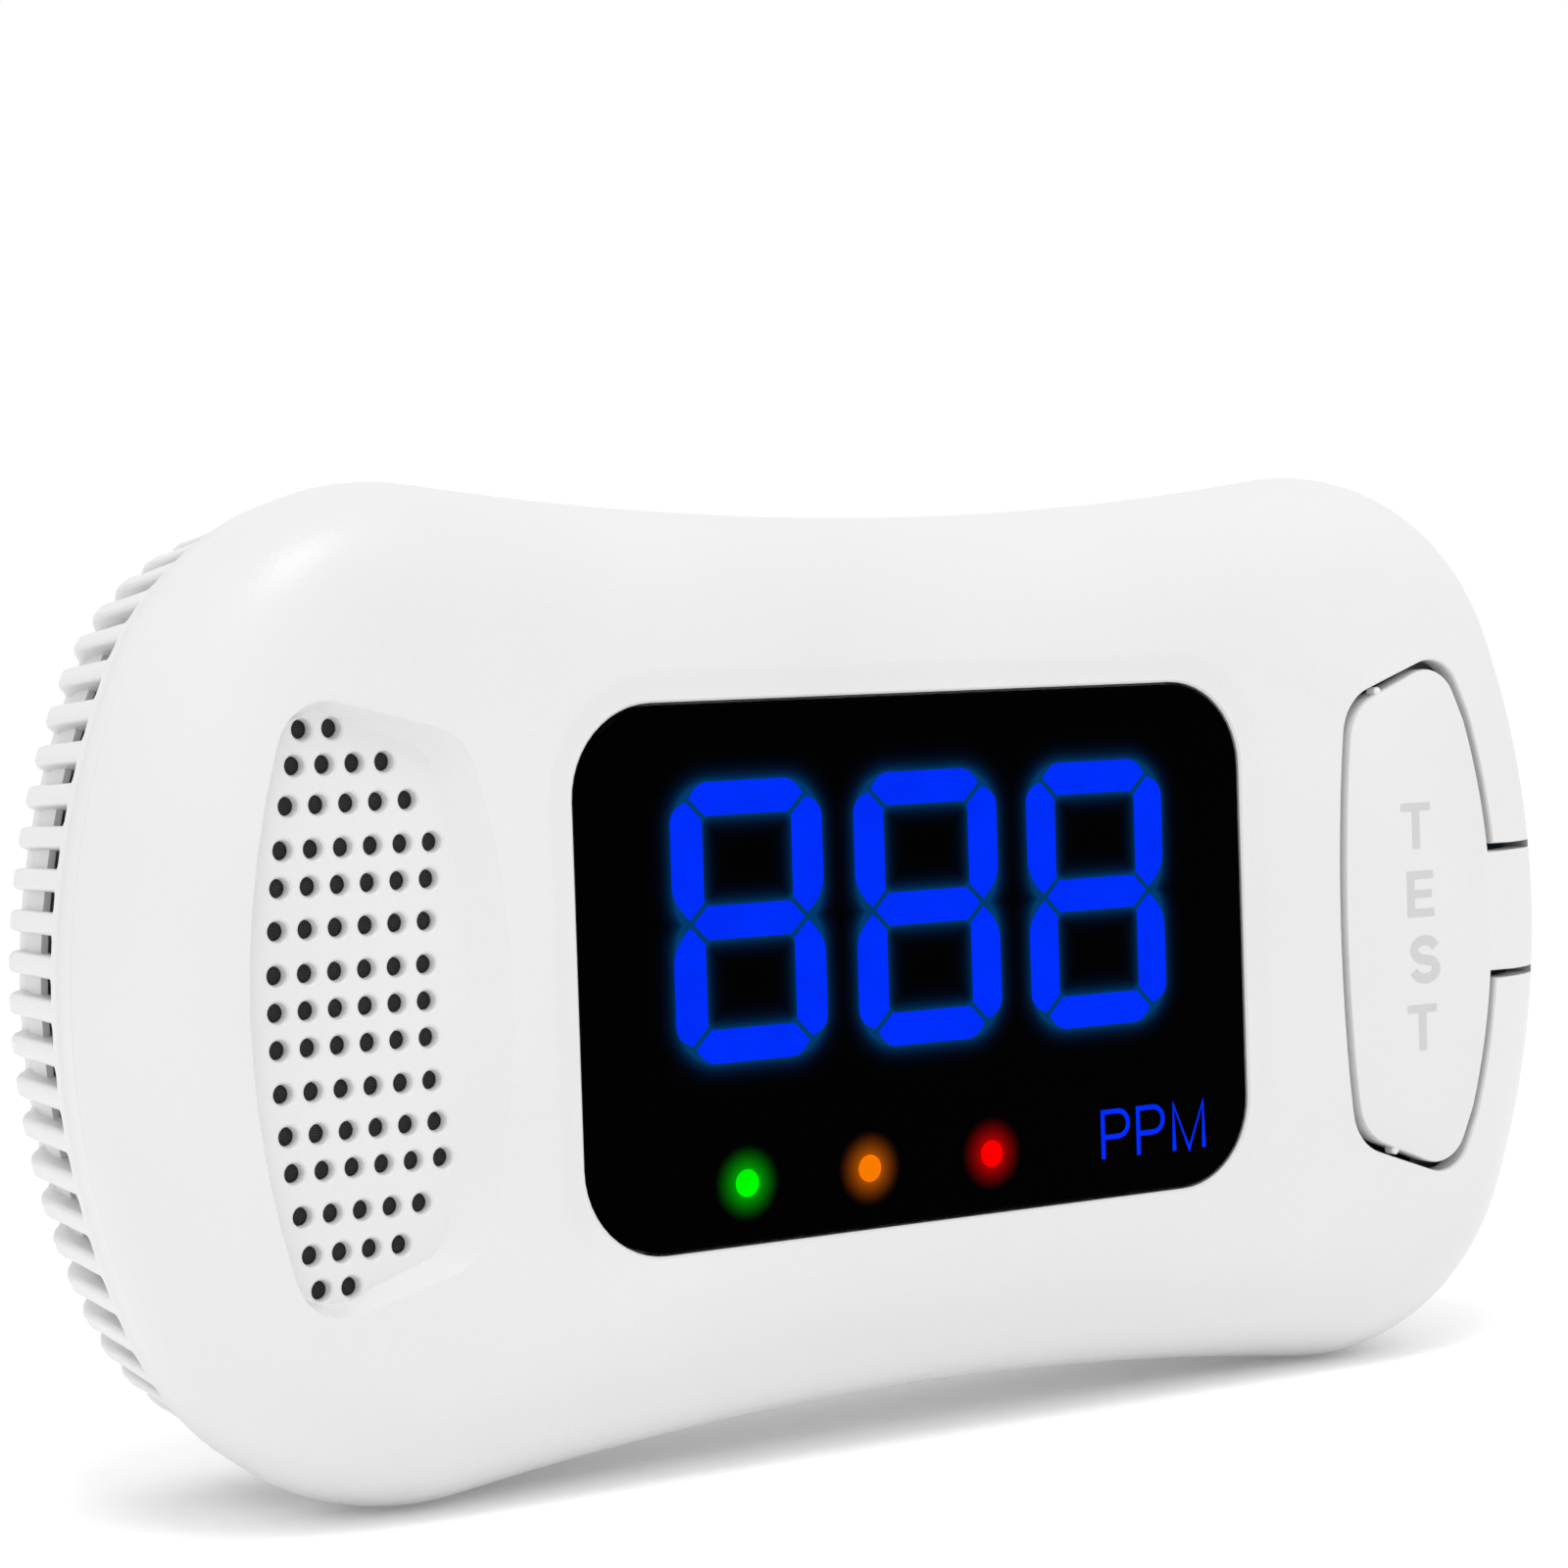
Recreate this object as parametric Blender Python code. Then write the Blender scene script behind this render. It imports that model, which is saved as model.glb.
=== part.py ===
"""Battery carbon monoxide alarm for a wall: a waisted two-shell case with a flush test
button, a dark display window, a sounder grille, vents round both ends and a battery door.

Sizes are in millimetres and become metres where an object is made. In the case's own
coordinates x runs right, y runs back from the front face and z runs up from mid-height.
The part's origin is on the back face, midway between the keyholes that it hangs on.
"""

import math

import bmesh
import bpy
from mathutils import Matrix, Vector

MM = 0.001

# The case's outline
WIDTH = 146.0
LOBE_HALF = 40.0
WAIST_HALF = 36.8
END_RADIUS = 66.0
CORNER_RADIUS = 22.3
END_STEPS, CORNER_STEPS, WAIST_STEPS = 5, 6, 4

# The case's depth, from the front face back
DEPTH = 34.6
WALL = 2.0
PAD_FRONT = 1.5
GAP = 0.3
SEAM = 11.1
ROUNDNESS = 2.2
FRONT_RUN = 11.1
FRONT_RISE = 10.7
REAR_RUN = 10.6
REAR_START = 26.3
REAR_INSET = 2.4
BAND_END = 15.0
BAND_STEP = 1.1
LIP_FRONT = 9.5
LIP_INSET = 2.4
LIP_WALL = 1.0
MOUNT_HEIGHT = 20.0

# Display window and what stands behind it
WINDOW = (-1.0, 0.15)
WINDOW_SIZE = (67.9, 43.8)
WINDOW_CORNER = 7.5
WINDOW_BEVEL = 2.5
LENS_FRONT = 0.6
LENS_BACK = 2.1
SEAT = 3.2
SEAT_BACK = 4.8
SEAT_WIDTH = 1.7
DIGIT_X = (-18.8, -1.05, 16.7)
DIGIT_Z = 4.35
DIGIT_SIZE = (14.6, 22.5)
SEGMENT = 3.0
LED_X = {"led_green": -19.85, "led_amber": -7.8, "led_red": 4.7}
LED_Z = -16.7
LEG_APART = 0.8
LEG_SIZE = (0.5, 0.5)

# Sounder grille
GRILLE_DEPTH = 1.55
GRILLE_BACK = 2.4
GRILLE_RIM = ((-63.7, -59.3), (-44.6, -41.3), (24.0, 20.2))
GRILLE_FLOOR = ((-63.3, -59.1), (-47.2, -44.3), (23.2, 19.2))
GRILLE_LEFT_CORNER = 2.5
GRILLE_RIM_CORNER = 4.6
GRILLE_FLOOR_CORNER = 3.2
HOLE_PITCH = 2.54
HOLE_RADIUS = 0.75
HOLE_ROWS = ((0.0, 6), (2.8, 6), (6.1, 6), (9.3, 6), (12.1, 6), (15.4, 5), (18.4, 4), (21.1, 2))
HOLE_ARC = 80.0
HOLE_FIRST_X = -60.6
BUZZER = (-52.0, 0.0)

# Test button: a tongue that flexes at its root
BUTTON_ROOT = 69.0
BUTTON_TONGUE_HALF = 5.8
BUTTON_INSET = 10.5
BUTTON_SHOULDER_Z = 20.9
BUTTON_TIP = (-1.6, 23.6, 3.6)
BUTTON_CORNER = (45.4, 19.4, 4.6)
BUTTON_EDGE = 44.2
BUTTON_SLOT = 0.7
BUTTON_CUT = 9.0
ROOT_AXIS = (69.15, 3.6, 0.0)
POST = (50.0, 0.0)
POST_END = 6.4

# Vents round both ends
VENTS_PER_HALF = 14
VENT_PITCH = 3.45
VENT_WIDTH = 1.3
VENT_FRONT = 17.4
VENT_INSET = 5.1

# Circuit board, screws and what the board carries
BOARD_FRONT, BOARD_BACK = 12.2, 13.8
BOARD_INSET = 5.6
BOSSES = [(sx * 38.0, sz * 27.0) for sz in (1, -1) for sx in (-1, 1)]
BOARD_POSTS = [(-38.6, 16.0), (38.6, -16.0)]
FRONT_BOSS, REAR_BOSS, BOARD_POST = 3.2, 3.6, 2.2
CASE_SCREW, PCB_SCREW = 1.2, 0.9
SCREW_HEAD, PCB_HEAD = 2.4, 1.9
SCREW_TIP = 5.2
PILOT_FRONT = 4.5
PILOT_ROOM = 0.3
SCREW_SEAT = 26.0
SENSOR = (-50.0, -12.0)

# Battery compartment, its door and cells
POCKET_HALF = 28.5
POCKET_FLOOR = 17.0
POCKET_Z = (-32.3, 11.9)
CELL_Z = (4.5, -10.2, -24.9)
CELL_RADIUS = 7.05
CELL_LENGTH = 50.5
CELL_Y = 24.5
DOOR_HALF = 31.0
DOOR_FRONT = 32.1
DOOR_LIP = 30.4
DOOR_LIP_Z = -31.0
DOOR_GAP = 0.35
DOOR_AXIS = (0.0, 33.35, 12.0)
HINGE_PIN = 0.7
HINGE_SOCKET = 1.0
KEYHOLE_X = 50.0
KEYHOLE_HEAD_Z = 12.0
KEYHOLE_HEAD_RADIUS = 4.3
KEYHOLE_SLOT = 2.1

# One material for each kind of surface: colour, roughness, metallic
MATERIALS = {
    "white_shell": ((0.86, 0.87, 0.88), 0.42, 0.0),
    "window_black": ((0.004, 0.004, 0.006), 0.08, 0.0),
    "gasket": ((0.03, 0.03, 0.03), 0.8, 0.0),
    "dust_mesh": ((0.04, 0.04, 0.04), 0.9, 0.0),
    "reflector": ((0.75, 0.75, 0.74), 0.5, 0.0),
    "blue_resin": ((0.0, 0.05, 0.9), 0.3, 0.0),
    "green_led": ((0.0, 0.8, 0.05), 0.2, 0.0),
    "amber_led": ((1.0, 0.35, 0.0), 0.2, 0.0),
    "red_led": ((0.9, 0.0, 0.0), 0.2, 0.0),
    "board": ((0.01, 0.12, 0.04), 0.45, 0.0),
    "steel": ((0.55, 0.55, 0.56), 0.3, 1.0),
    "brass": ((0.78, 0.6, 0.28), 0.35, 1.0),
    "black_part": ((0.02, 0.02, 0.02), 0.45, 0.0),
    "cell_jacket": ((0.1, 0.11, 0.13), 0.35, 0.0),
}


# ---- Outlines, as lists of (x, z) ----


def arc(centre, radius, start, stop, steps):
    """Points on an arc from start to stop, in radians, without the last one."""
    turns = [start + (stop - start) * step / steps for step in range(steps)]
    return [(centre[0] + radius * math.cos(a), centre[1] + radius * math.sin(a)) for a in turns]


def case_arcs():
    """The end, corner and waist arcs of one quarter, each (centre, radius, start, stop)."""
    end = (WIDTH / 2 - END_RADIUS, 0.0)
    corner_z = LOBE_HALF - CORNER_RADIUS
    reach = math.sqrt((END_RADIUS - CORNER_RADIUS) ** 2 - corner_z**2)
    corner = (end[0] + reach, corner_z)
    rise = WAIST_HALF - corner_z
    waist_radius = (corner[0] ** 2 + rise**2 - CORNER_RADIUS**2) / (2 * (CORNER_RADIUS - rise))
    waist = (0.0, WAIST_HALF + waist_radius)
    leave_end = math.atan2(corner_z, reach)
    leave_corner = math.atan2(waist[1] - corner[1], -corner[0])
    return (
        (end, END_RADIUS, 0.0, leave_end),
        (corner, CORNER_RADIUS, leave_end, leave_corner),
        (waist, waist_radius, leave_corner - math.pi, -math.pi / 2),
    )


def case_outline(inset=0.0):
    """The case's whole outline, drawn in by inset."""
    end, corner, waist = case_arcs()
    quarter = arc(end[0], end[1] - inset, end[2], end[3], END_STEPS)
    quarter += arc(corner[0], corner[1] - inset, corner[2], corner[3], CORNER_STEPS)
    quarter += arc(waist[0], waist[1] + inset, waist[2], waist[3], WAIST_STEPS)
    top = quarter + [(0.0, WAIST_HALF - inset)] + [(-x, z) for x, z in reversed(quarter)]
    return top + [(x, -z) for x, z in reversed(top[1:-1])]


def along_end(distance, inset):
    """Point and outward angle at a distance round the right-hand end from its middle."""
    end, corner, _ = case_arcs()
    side = math.copysign(1.0, distance)
    first = end[1] * end[3]
    if abs(distance) <= first:
        centre, radius, angle = end[0], end[1], abs(distance) / end[1]
    else:
        centre, radius = corner[0], corner[1]
        angle = corner[2] + (abs(distance) - first) / corner[1]
    x = centre[0] + (radius - inset) * math.cos(angle)
    z = centre[1] + (radius - inset) * math.sin(angle)
    return (x, side * z), side * angle


def rounded(corners, steps=4):
    """A closed outline through (x, z, radius) corners, where a radius rounds its corner."""
    points = []
    for index, (x, z, radius) in enumerate(corners):
        here = Vector((x, z))
        if radius == 0:
            points.append((x, z))
            continue
        back = (Vector(corners[index - 1][:2]) - here).normalized()
        ahead = (Vector(corners[(index + 1) % len(corners)][:2]) - here).normalized()
        half = back.angle(ahead) / 2
        centre = here + (back + ahead).normalized() * radius / math.sin(half)
        spoke = here + back * radius / math.tan(half) - centre
        sweep = math.copysign(math.pi - 2 * half, spoke.y * back.x - spoke.x * back.y)
        for step in range(steps + 1):
            turned = Matrix.Rotation(sweep * step / steps, 2) @ spoke
            points.append(tuple(centre + turned))
    return points


def rounded_rectangle(centre, size, radius, grow=0.0, steps=4):
    half_x, half_z = size[0] / 2 + grow, size[1] / 2 + grow
    signs = ((1, 1), (-1, 1), (-1, -1), (1, -1))
    corners = [(centre[0] + sx * half_x, centre[1] + sz * half_z, radius + grow) for sx, sz in signs]
    return rounded(corners, steps)


def bowed(peak, end, half_height, steps):
    """Inner points of an upright arc through (end, ±half_height) and (peak, 0), going up."""
    bow = end - peak
    radius = (half_height**2 + bow**2) / (2 * bow)
    heights = [half_height * (2 * step / steps - 1) for step in range(1, steps)]
    root = [math.copysign(math.sqrt(radius**2 - z * z), radius) for z in heights]
    return [(peak + radius - r, z, 0.0) for r, z in zip(root, heights)]


def grille_outline(shape, corner, grow=0.0):
    """The sounder recess: two bowed sides joined by slanted ends, with a right-hand corner radius."""
    (left_peak, left_end), (right_end, right_peak), (left_z, right_z) = shape
    left_peak, left_end = left_peak - grow, left_end - grow
    right_end, right_peak = right_end + grow, right_peak + grow
    left_z, right_z = left_z + grow, right_z + grow
    left_corner = GRILLE_LEFT_CORNER
    right = [(right_end, -right_z, corner)] + bowed(right_peak, right_end, right_z, 6)[1:-1]
    left = [(left_end, left_z, left_corner)] + bowed(left_peak, left_end, left_z, 6)[::-1]
    return rounded(right + [(right_end, right_z, corner)] + left + [(left_end, -left_z, left_corner)])


def button_outline(grow=0.0, root=BUTTON_ROOT):
    """The middle of the slot round the test button and its tongue, grown or drawn in but for its root."""
    end = case_arcs()[0]
    radius = END_RADIUS - BUTTON_INSET + grow
    tongue = BUTTON_TONGUE_HALF + grow
    low = math.asin(tongue / radius)
    high = math.asin((BUTTON_SHOULDER_Z + grow) / radius)
    side = [(x, z, 0.0) for x, z in arc(end[0], radius, low, high, 4)]
    tip = (end[0][0] + radius * math.cos(high) + BUTTON_TIP[0], BUTTON_TIP[1] + grow, BUTTON_TIP[2])
    corner = (BUTTON_CORNER[0] - grow, BUTTON_CORNER[1] + grow, BUTTON_CORNER[2])
    inner = bowed(BUTTON_EDGE - grow, corner[0], corner[1], 6)[::-1]
    top = side + [tip, corner]
    bottom = [(x, -z, r) for x, z, r in reversed(top)]
    return rounded([(root, tongue, 0.0)] + top + inner + bottom + [(root, -tongue, 0.0)])


def dome(inset, run, start, rise, steps):
    """Rounded edge of a shell, as (inset, y), from the wall at start to the flat face."""
    turns = [math.pi / 2 * step / steps for step in range(steps + 1)]
    power = 2 / ROUNDNESS
    across = [inset + run * (1 - max(math.cos(a), 0.0) ** power) for a in turns]
    return [(across[i], start + rise * math.sin(a) ** power) for i, a in enumerate(turns)]


def front_profile():
    return [(0.0, SEAM)] + dome(0.0, FRONT_RUN, FRONT_RISE, -FRONT_RISE, 8)


def rear_profile():
    start = [(BAND_STEP, BAND_END + 1.3)]
    return start + dome(REAR_INSET, REAR_RUN, REAR_START, DEPTH - REAR_START, 6)


# ---- Solids, as meshes in the case's coordinates ----


def loft(rings):
    """A closed solid through rings of as many (x, y, z) points each, capped at both ends."""
    mesh = bmesh.new()
    loops = [[mesh.verts.new(point) for point in ring] for ring in rings]
    for near, far in zip(loops, loops[1:]):
        for index in range(len(near)):
            after = (index + 1) % len(near)
            mesh.faces.new((near[index], near[after], far[after], far[index]))
    mesh.faces.new(loops[0][::-1])
    mesh.faces.new(loops[-1])
    if mesh.calc_volume(signed=True) < 0:
        bmesh.ops.reverse_faces(mesh, faces=mesh.faces)
    return mesh


def case_loft(profile):
    return loft([[(x, y, z) for x, z in case_outline(inset)] for inset, y in profile])


def prism(outline, front, back):
    return loft([[(x, y, z) for x, z in outline] for y in (front, back)])


def box(x, y, z):
    return prism([(x[0], z[0]), (x[1], z[0]), (x[1], z[1]), (x[0], z[1])], y[0], y[1])


def turned(centre, profile, sides=12):
    """A solid of revolution about a line along y. The profile is (radius, y) from end to end."""
    rings = [[(x, y, z) for x, z in arc(centre, r, 0.0, math.tau, sides)] for r, y in profile]
    return loft(rings)


def pillars(centres, radius, front, back, sides=12):
    """Equal cylinders along y."""
    return together([turned(centre, [(radius, front), (radius, back)], sides) for centre in centres])


def rod(x, y, z, radius, sides=10):
    """A cylinder along x, from x[0] to x[1]."""
    circle = arc((y, z), radius, 0.0, math.tau, sides)
    return loft([[(end, cy, cz) for cy, cz in circle] for end in x])


def together(meshes):
    """One mesh that holds several solids, which don't touch."""
    whole = bmesh.new()
    for mesh in meshes:
        data = bpy.data.meshes.new("piece")
        mesh.to_mesh(data)
        mesh.free()
        whole.from_mesh(data)
        bpy.data.meshes.remove(data)
    return whole


# ---- Objects ----


def material(slot):
    found = bpy.data.materials.get(slot)
    if found:
        return found
    colour, roughness, metallic = MATERIALS[slot]
    made = bpy.data.materials.new(slot)
    made.use_nodes = True
    shader = made.node_tree.nodes["Principled BSDF"]
    shader.inputs["Base Color"].default_value = (*colour, 1.0)
    shader.inputs["Roughness"].default_value = roughness
    shader.inputs["Metallic"].default_value = metallic
    return made


def add(name, mesh, slot=None, origin=(0.0, DEPTH, MOUNT_HEIGHT)):
    """Makes an object whose own origin is at a point of the case, a joint's axis for one that moves."""
    mesh.transform(Matrix.Scale(MM, 4) @ Matrix.Translation(-Vector(origin)))
    data = bpy.data.meshes.new(name)
    mesh.to_mesh(data)
    mesh.free()
    data.shade_smooth()
    data.set_sharp_from_angle(angle=math.radians(30))
    obj = bpy.data.objects.new(name, data)
    obj.location = (Vector(origin) - Vector((0.0, DEPTH, MOUNT_HEIGHT))) * MM
    bpy.context.scene.collection.objects.link(obj)
    if slot:
        data.materials.append(material(slot))
    return obj


def shape(obj, operation, mesh):
    """Adds a Boolean with a hidden tool to an object: DIFFERENCE, UNION or INTERSECT."""
    tool = add(f"{obj.name}_tool_{len(obj.modifiers) + 1}", mesh)
    tool.hide_render = True
    tool.display_type = "WIRE"
    modifier = obj.modifiers.new(operation.lower(), "BOOLEAN")
    modifier.operation = operation
    modifier.object = tool


def cut(obj, *meshes):
    for mesh in meshes:
        shape(obj, "DIFFERENCE", mesh)


def weld(obj, *meshes):
    for mesh in meshes:
        shape(obj, "UNION", mesh)


# ---- Front half ----


def front_shell():
    outer = front_profile()[::-1]
    inner = [(WALL, SEAM)] + dome(WALL, FRONT_RUN - 1.0, FRONT_RISE, WALL - FRONT_RISE, 5)
    return case_loft(outer + inner)


def grille_holes():
    """The holes' centres, in rows that follow a wide arc down the grille's left side."""
    centres = []
    for height, count in HOLE_ROWS:
        first = HOLE_FIRST_X + HOLE_ARC - math.sqrt(HOLE_ARC**2 - height**2)
        for sign in (1, -1) if height else (1,):
            centres += [(first + column * HOLE_PITCH, sign * height) for column in range(count)]
    return centres


def front_cover():
    cover = add("front_cover", front_shell(), "white_shell")
    weld(
        cover,
        prism(grille_outline(GRILLE_RIM, GRILLE_RIM_CORNER, 0.8), PAD_FRONT, GRILLE_BACK),
        prism(rounded_rectangle(WINDOW, WINDOW_SIZE, WINDOW_CORNER, SEAT_WIDTH), PAD_FRONT, SEAT_BACK),
        pillars(BOSSES, FRONT_BOSS, PAD_FRONT, BOARD_FRONT - GAP),
        pillars(BOARD_POSTS, BOARD_POST, PAD_FRONT, BOARD_FRONT - GAP),
    )
    rim = [(x, -0.02, z) for x, z in grille_outline(GRILLE_RIM, GRILLE_RIM_CORNER)]
    floor = [(x, GRILLE_DEPTH, z) for x, z in grille_outline(GRILLE_FLOOR, GRILLE_FLOOR_CORNER)]
    bevel = rounded_rectangle(WINDOW, WINDOW_SIZE, WINDOW_CORNER, WINDOW_BEVEL)
    window = rounded_rectangle(WINDOW, WINDOW_SIZE, WINDOW_CORNER)
    cut(
        cover,
        loft([rim, floor]),
        loft([[(x, -0.02, z) for x, z in bevel], [(x, LENS_FRONT, z) for x, z in window]]),
        prism(window, LENS_FRONT - 0.4, SEAT),
        prism(rounded_rectangle(WINDOW, WINDOW_SIZE, WINDOW_CORNER, -SEAT_WIDTH), SEAT - 1, SEAT_BACK + 1),
        prism(button_outline(BUTTON_SLOT / 2, BUTTON_ROOT + GAP), -1.0, BUTTON_CUT),
        pillars(BOSSES, CASE_SCREW + PILOT_ROOM, PILOT_FRONT, BOARD_FRONT + 1, 8),
        pillars(BOARD_POSTS, PCB_SCREW + PILOT_ROOM, PILOT_FRONT, BOARD_FRONT + 1, 8),
        pillars(grille_holes(), HOLE_RADIUS, 1.0, GRILLE_BACK + 1, 6),
    )


def test_button():
    button = add("test_button", front_shell(), "white_shell", ROOT_AXIS)
    shape(button, "INTERSECT", prism(button_outline(-BUTTON_SLOT / 2), -1.0, BUTTON_CUT))
    weld(button, turned(POST, [(2.0, 1.5), (2.0, POST_END)], 10))


def display_lens():
    outline = rounded_rectangle(WINDOW, WINDOW_SIZE, WINDOW_CORNER, -GAP, steps=6)
    add("display_lens", prism(outline, LENS_FRONT, LENS_BACK), "window_black")
    gasket = add("lens_gasket", prism(outline, LENS_BACK + GAP, SEAT - GAP), "gasket")
    opening = rounded_rectangle(WINDOW, WINDOW_SIZE, WINDOW_CORNER, -SEAT_WIDTH + 0.2)
    cut(gasket, prism(opening, LENS_BACK, SEAT))


def segment(centre, length, upright):
    """One bar of a figure: a hexagon with pointed ends."""
    half, blunt = length / 2, SEGMENT / 2
    across = [(half, 0), (half - blunt, blunt), (blunt - half, blunt)]
    across += [(-half, 0), (blunt - half, -blunt), (half - blunt, -blunt)]
    turned_over = [(z, x) for x, z in across] if upright else across
    return [(centre[0] + x, centre[1] + z) for x, z in turned_over]


def digit_segments(centre_x):
    """The seven bars of one figure eight."""
    reach_x = (DIGIT_SIZE[0] - SEGMENT) / 2
    reach_z = (DIGIT_SIZE[1] - SEGMENT) / 2
    bars = [segment((centre_x, DIGIT_Z + level * reach_z), 2 * reach_x - 0.6, False) for level in (-1, 0, 1)]
    for side in (-1, 1):
        for half in (-0.5, 0.5):
            centre = (centre_x + side * reach_x, DIGIT_Z + half * reach_z)
            bars.append(segment(centre, reach_z - 0.6, True))
    return bars


def display():
    """The reflector block, one resin figure in each of its three chambers."""
    z = DIGIT_Z
    block = rounded_rectangle((WINDOW[0], 4.4), (62.6, 30.0), 5.5)
    reflector = add("display_reflector", prism(block, 3.5, BOARD_FRONT - GAP), "reflector")
    for index, centre_x in enumerate(DIGIT_X):
        width, height = DIGIT_SIZE
        mouth = rounded_rectangle((centre_x, z), (width + 0.8, height + 0.8), 0.6, steps=1)
        chamber = rounded_rectangle((centre_x, z), (width - 0.4, height - 0.4), 0.6, steps=1)
        cut(reflector, prism(mouth, 3.0, 6.2), prism(chamber, 6.0, 13.0))
        plate = rounded_rectangle((centre_x, z), DIGIT_SIZE, 0.6, grow=0.1, steps=1)
        resin = add(f"digit_resin_{index + 1}", prism(plate, 4.6, 5.8), "blue_resin")
        weld(resin, together([prism(bar, 3.6, 4.9) for bar in digit_segments(centre_x)]))


def indicator_lamps():
    holder = add("led_holder", box((-26.0, 11.0), (4.6, 9.9), (-19.4, -12.4)), "black_part")
    cut(holder, together([turned((x, LED_Z), [(1.9, 4.0), (1.9, 10.5)]) for x in LED_X.values()]))
    for name, x in LED_X.items():
        colour = name.replace("led_", "") + "_led"
        profile = [(0.4, 4.2), (1.1, 4.5), (1.5, 5.4), (1.5, 10.2), (1.9, 10.2), (1.9, 11.0)]
        lamp = add(name, turned((x, LED_Z), profile), colour)
        legs = [(x - LEG_APART, LED_Z), (x + LEG_APART, LED_Z)]
        weld(lamp, together([prism(rounded_rectangle(leg, LEG_SIZE, 0.0), 10.5, 11.9) for leg in legs]))
    add("unit_light_block", box((14.5, 27.5), (3.9, BOARD_FRONT - GAP), (-19.0, -12.4)), "blue_resin")


def sounder():
    outline = grille_outline(GRILLE_RIM, GRILLE_RIM_CORNER, -1.2)
    add("dust_screen", prism(outline, GRILLE_BACK + GAP, GRILLE_BACK + GAP + 0.4), "dust_mesh")
    front = GRILLE_BACK + GAP + 0.7
    case = add("buzzer_case", turned(BUZZER, [(12.0, front), (12.0, BOARD_FRONT - GAP)], 24), "black_part")
    cut(case, turned(BUZZER, [(10.8, front + 1.2), (10.8, BOARD_FRONT)], 24))
    cut(case, turned(BUZZER, [(2.0, front - 1), (2.0, front + 2)], 12))
    add("piezo_disc", turned(BUZZER, [(10.3, 7.8), (10.3, 8.2)], 24), "brass")


# ---- Circuit board ----


def main_board():
    outline = case_outline(BOARD_INSET)
    board = add("main_pcb", prism(outline, BOARD_FRONT, BOARD_BACK), "board")
    cut(board, pillars(BOSSES, CASE_SCREW + 0.6, 11.0, 15.0, 10))
    cut(board, pillars(BOARD_POSTS, PCB_SCREW + 0.4, 11.0, 15.0, 8))


def board_parts():
    back = BOARD_BACK + GAP
    add("co_sensor_base", turned(SENSOR, [(10.6, back), (10.6, back + 2.0)], 20), "black_part")
    can = [(10.0, back + 2.3), (10.0, back + 14.5), (9.2, back + 15.5)]
    add("co_sensor_can", turned(SENSOR, can, 20), "steel")
    add("mcu_chip", box((-4.5, 4.5), (BOARD_BACK + 0.05, BOARD_BACK + 1.25), (19.5, 28.5)), "black_part")
    cap = [(3.4, back), (3.4, back + 10.2), (3.0, back + 10.8)]
    add("capacitor", turned((46.0, 12.0), cap, 14), "black_part")
    waist = [(2.6, back + 1.2), (2.6, back + 5.2)]
    coil = [(3.6, back), (3.6, back + 1.2)] + waist + [(3.6, back + 5.2), (3.6, back + 6.4)]
    add("inductor", turned((54.0, 3.0), coil, 14), "black_part")


def test_switch():
    x, z = POST
    outline = rounded_rectangle(POST, (6.0, 6.0), 0.0)
    body = add("tact_switch_body", prism(outline, 8.4, BOARD_FRONT - GAP), "black_part")
    cut(body, turned(POST, [(2.0, 8.0), (2.0, 10.2)], 10))
    plunger = turned(POST, [(1.5, 6.9), (1.7, 7.1), (1.7, 9.2)], 10)
    add("tact_switch_plunger", plunger, "gasket", (x, 6.9, z))


# ---- Rear half ----


def rear_shell():
    outer = rear_profile()[::-1]
    band = [(BAND_STEP, BAND_END + 0.4), (0.55, BAND_END), (0.2, SEAM + GAP)]
    inside = LIP_INSET + LIP_WALL
    lip = [(LIP_INSET, SEAM + GAP), (LIP_INSET, LIP_FRONT), (inside, LIP_FRONT), (inside, BAND_END + 1.3)]
    inner = dome(REAR_INSET + WALL, REAR_RUN - 1.0, REAR_START, DEPTH - WALL - REAR_START, 4)
    return case_loft(outer + band + lip + inner)


def vent_cutters():
    """A flat blade for each vent, square to the outline, from outside to a fixed inset."""
    blades = []
    for index in range(-VENTS_PER_HALF, VENTS_PER_HALF):
        (x, z), angle = along_end((index + 0.5) * VENT_PITCH, VENT_INSET)
        outward = Vector((math.cos(angle), math.sin(angle)))
        sideways = Vector((-outward.y, outward.x)) * VENT_WIDTH / 2
        foot, tip = Vector((x, z)), Vector((x, z)) + outward * (VENT_INSET + 2.0)
        outline = [tuple(p) for p in (foot - sideways, tip - sideways, tip + sideways, foot + sideways)]
        blades.append(prism(outline, VENT_FRONT, DEPTH + 2.0))
        blades.append(prism([(-px, pz) for px, pz in outline], VENT_FRONT, DEPTH + 2.0))
    return together(blades)


def keyhole(x):
    """A round hole for a screw's head, with a narrow slot above it."""
    opening = math.asin(KEYHOLE_SLOT / KEYHOLE_HEAD_RADIUS)
    head = arc((x, KEYHOLE_HEAD_Z), KEYHOLE_HEAD_RADIUS, math.pi / 2 + opening, 2.5 * math.pi - opening, 12)
    slot = arc((x, MOUNT_HEIGHT - KEYHOLE_SLOT), KEYHOLE_SLOT, 0.0, math.pi, 6)
    return prism(head + [(x + KEYHOLE_SLOT, KEYHOLE_HEAD_Z + 3.8)] + slot, DEPTH - WALL - 2, DEPTH + 1)


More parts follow.
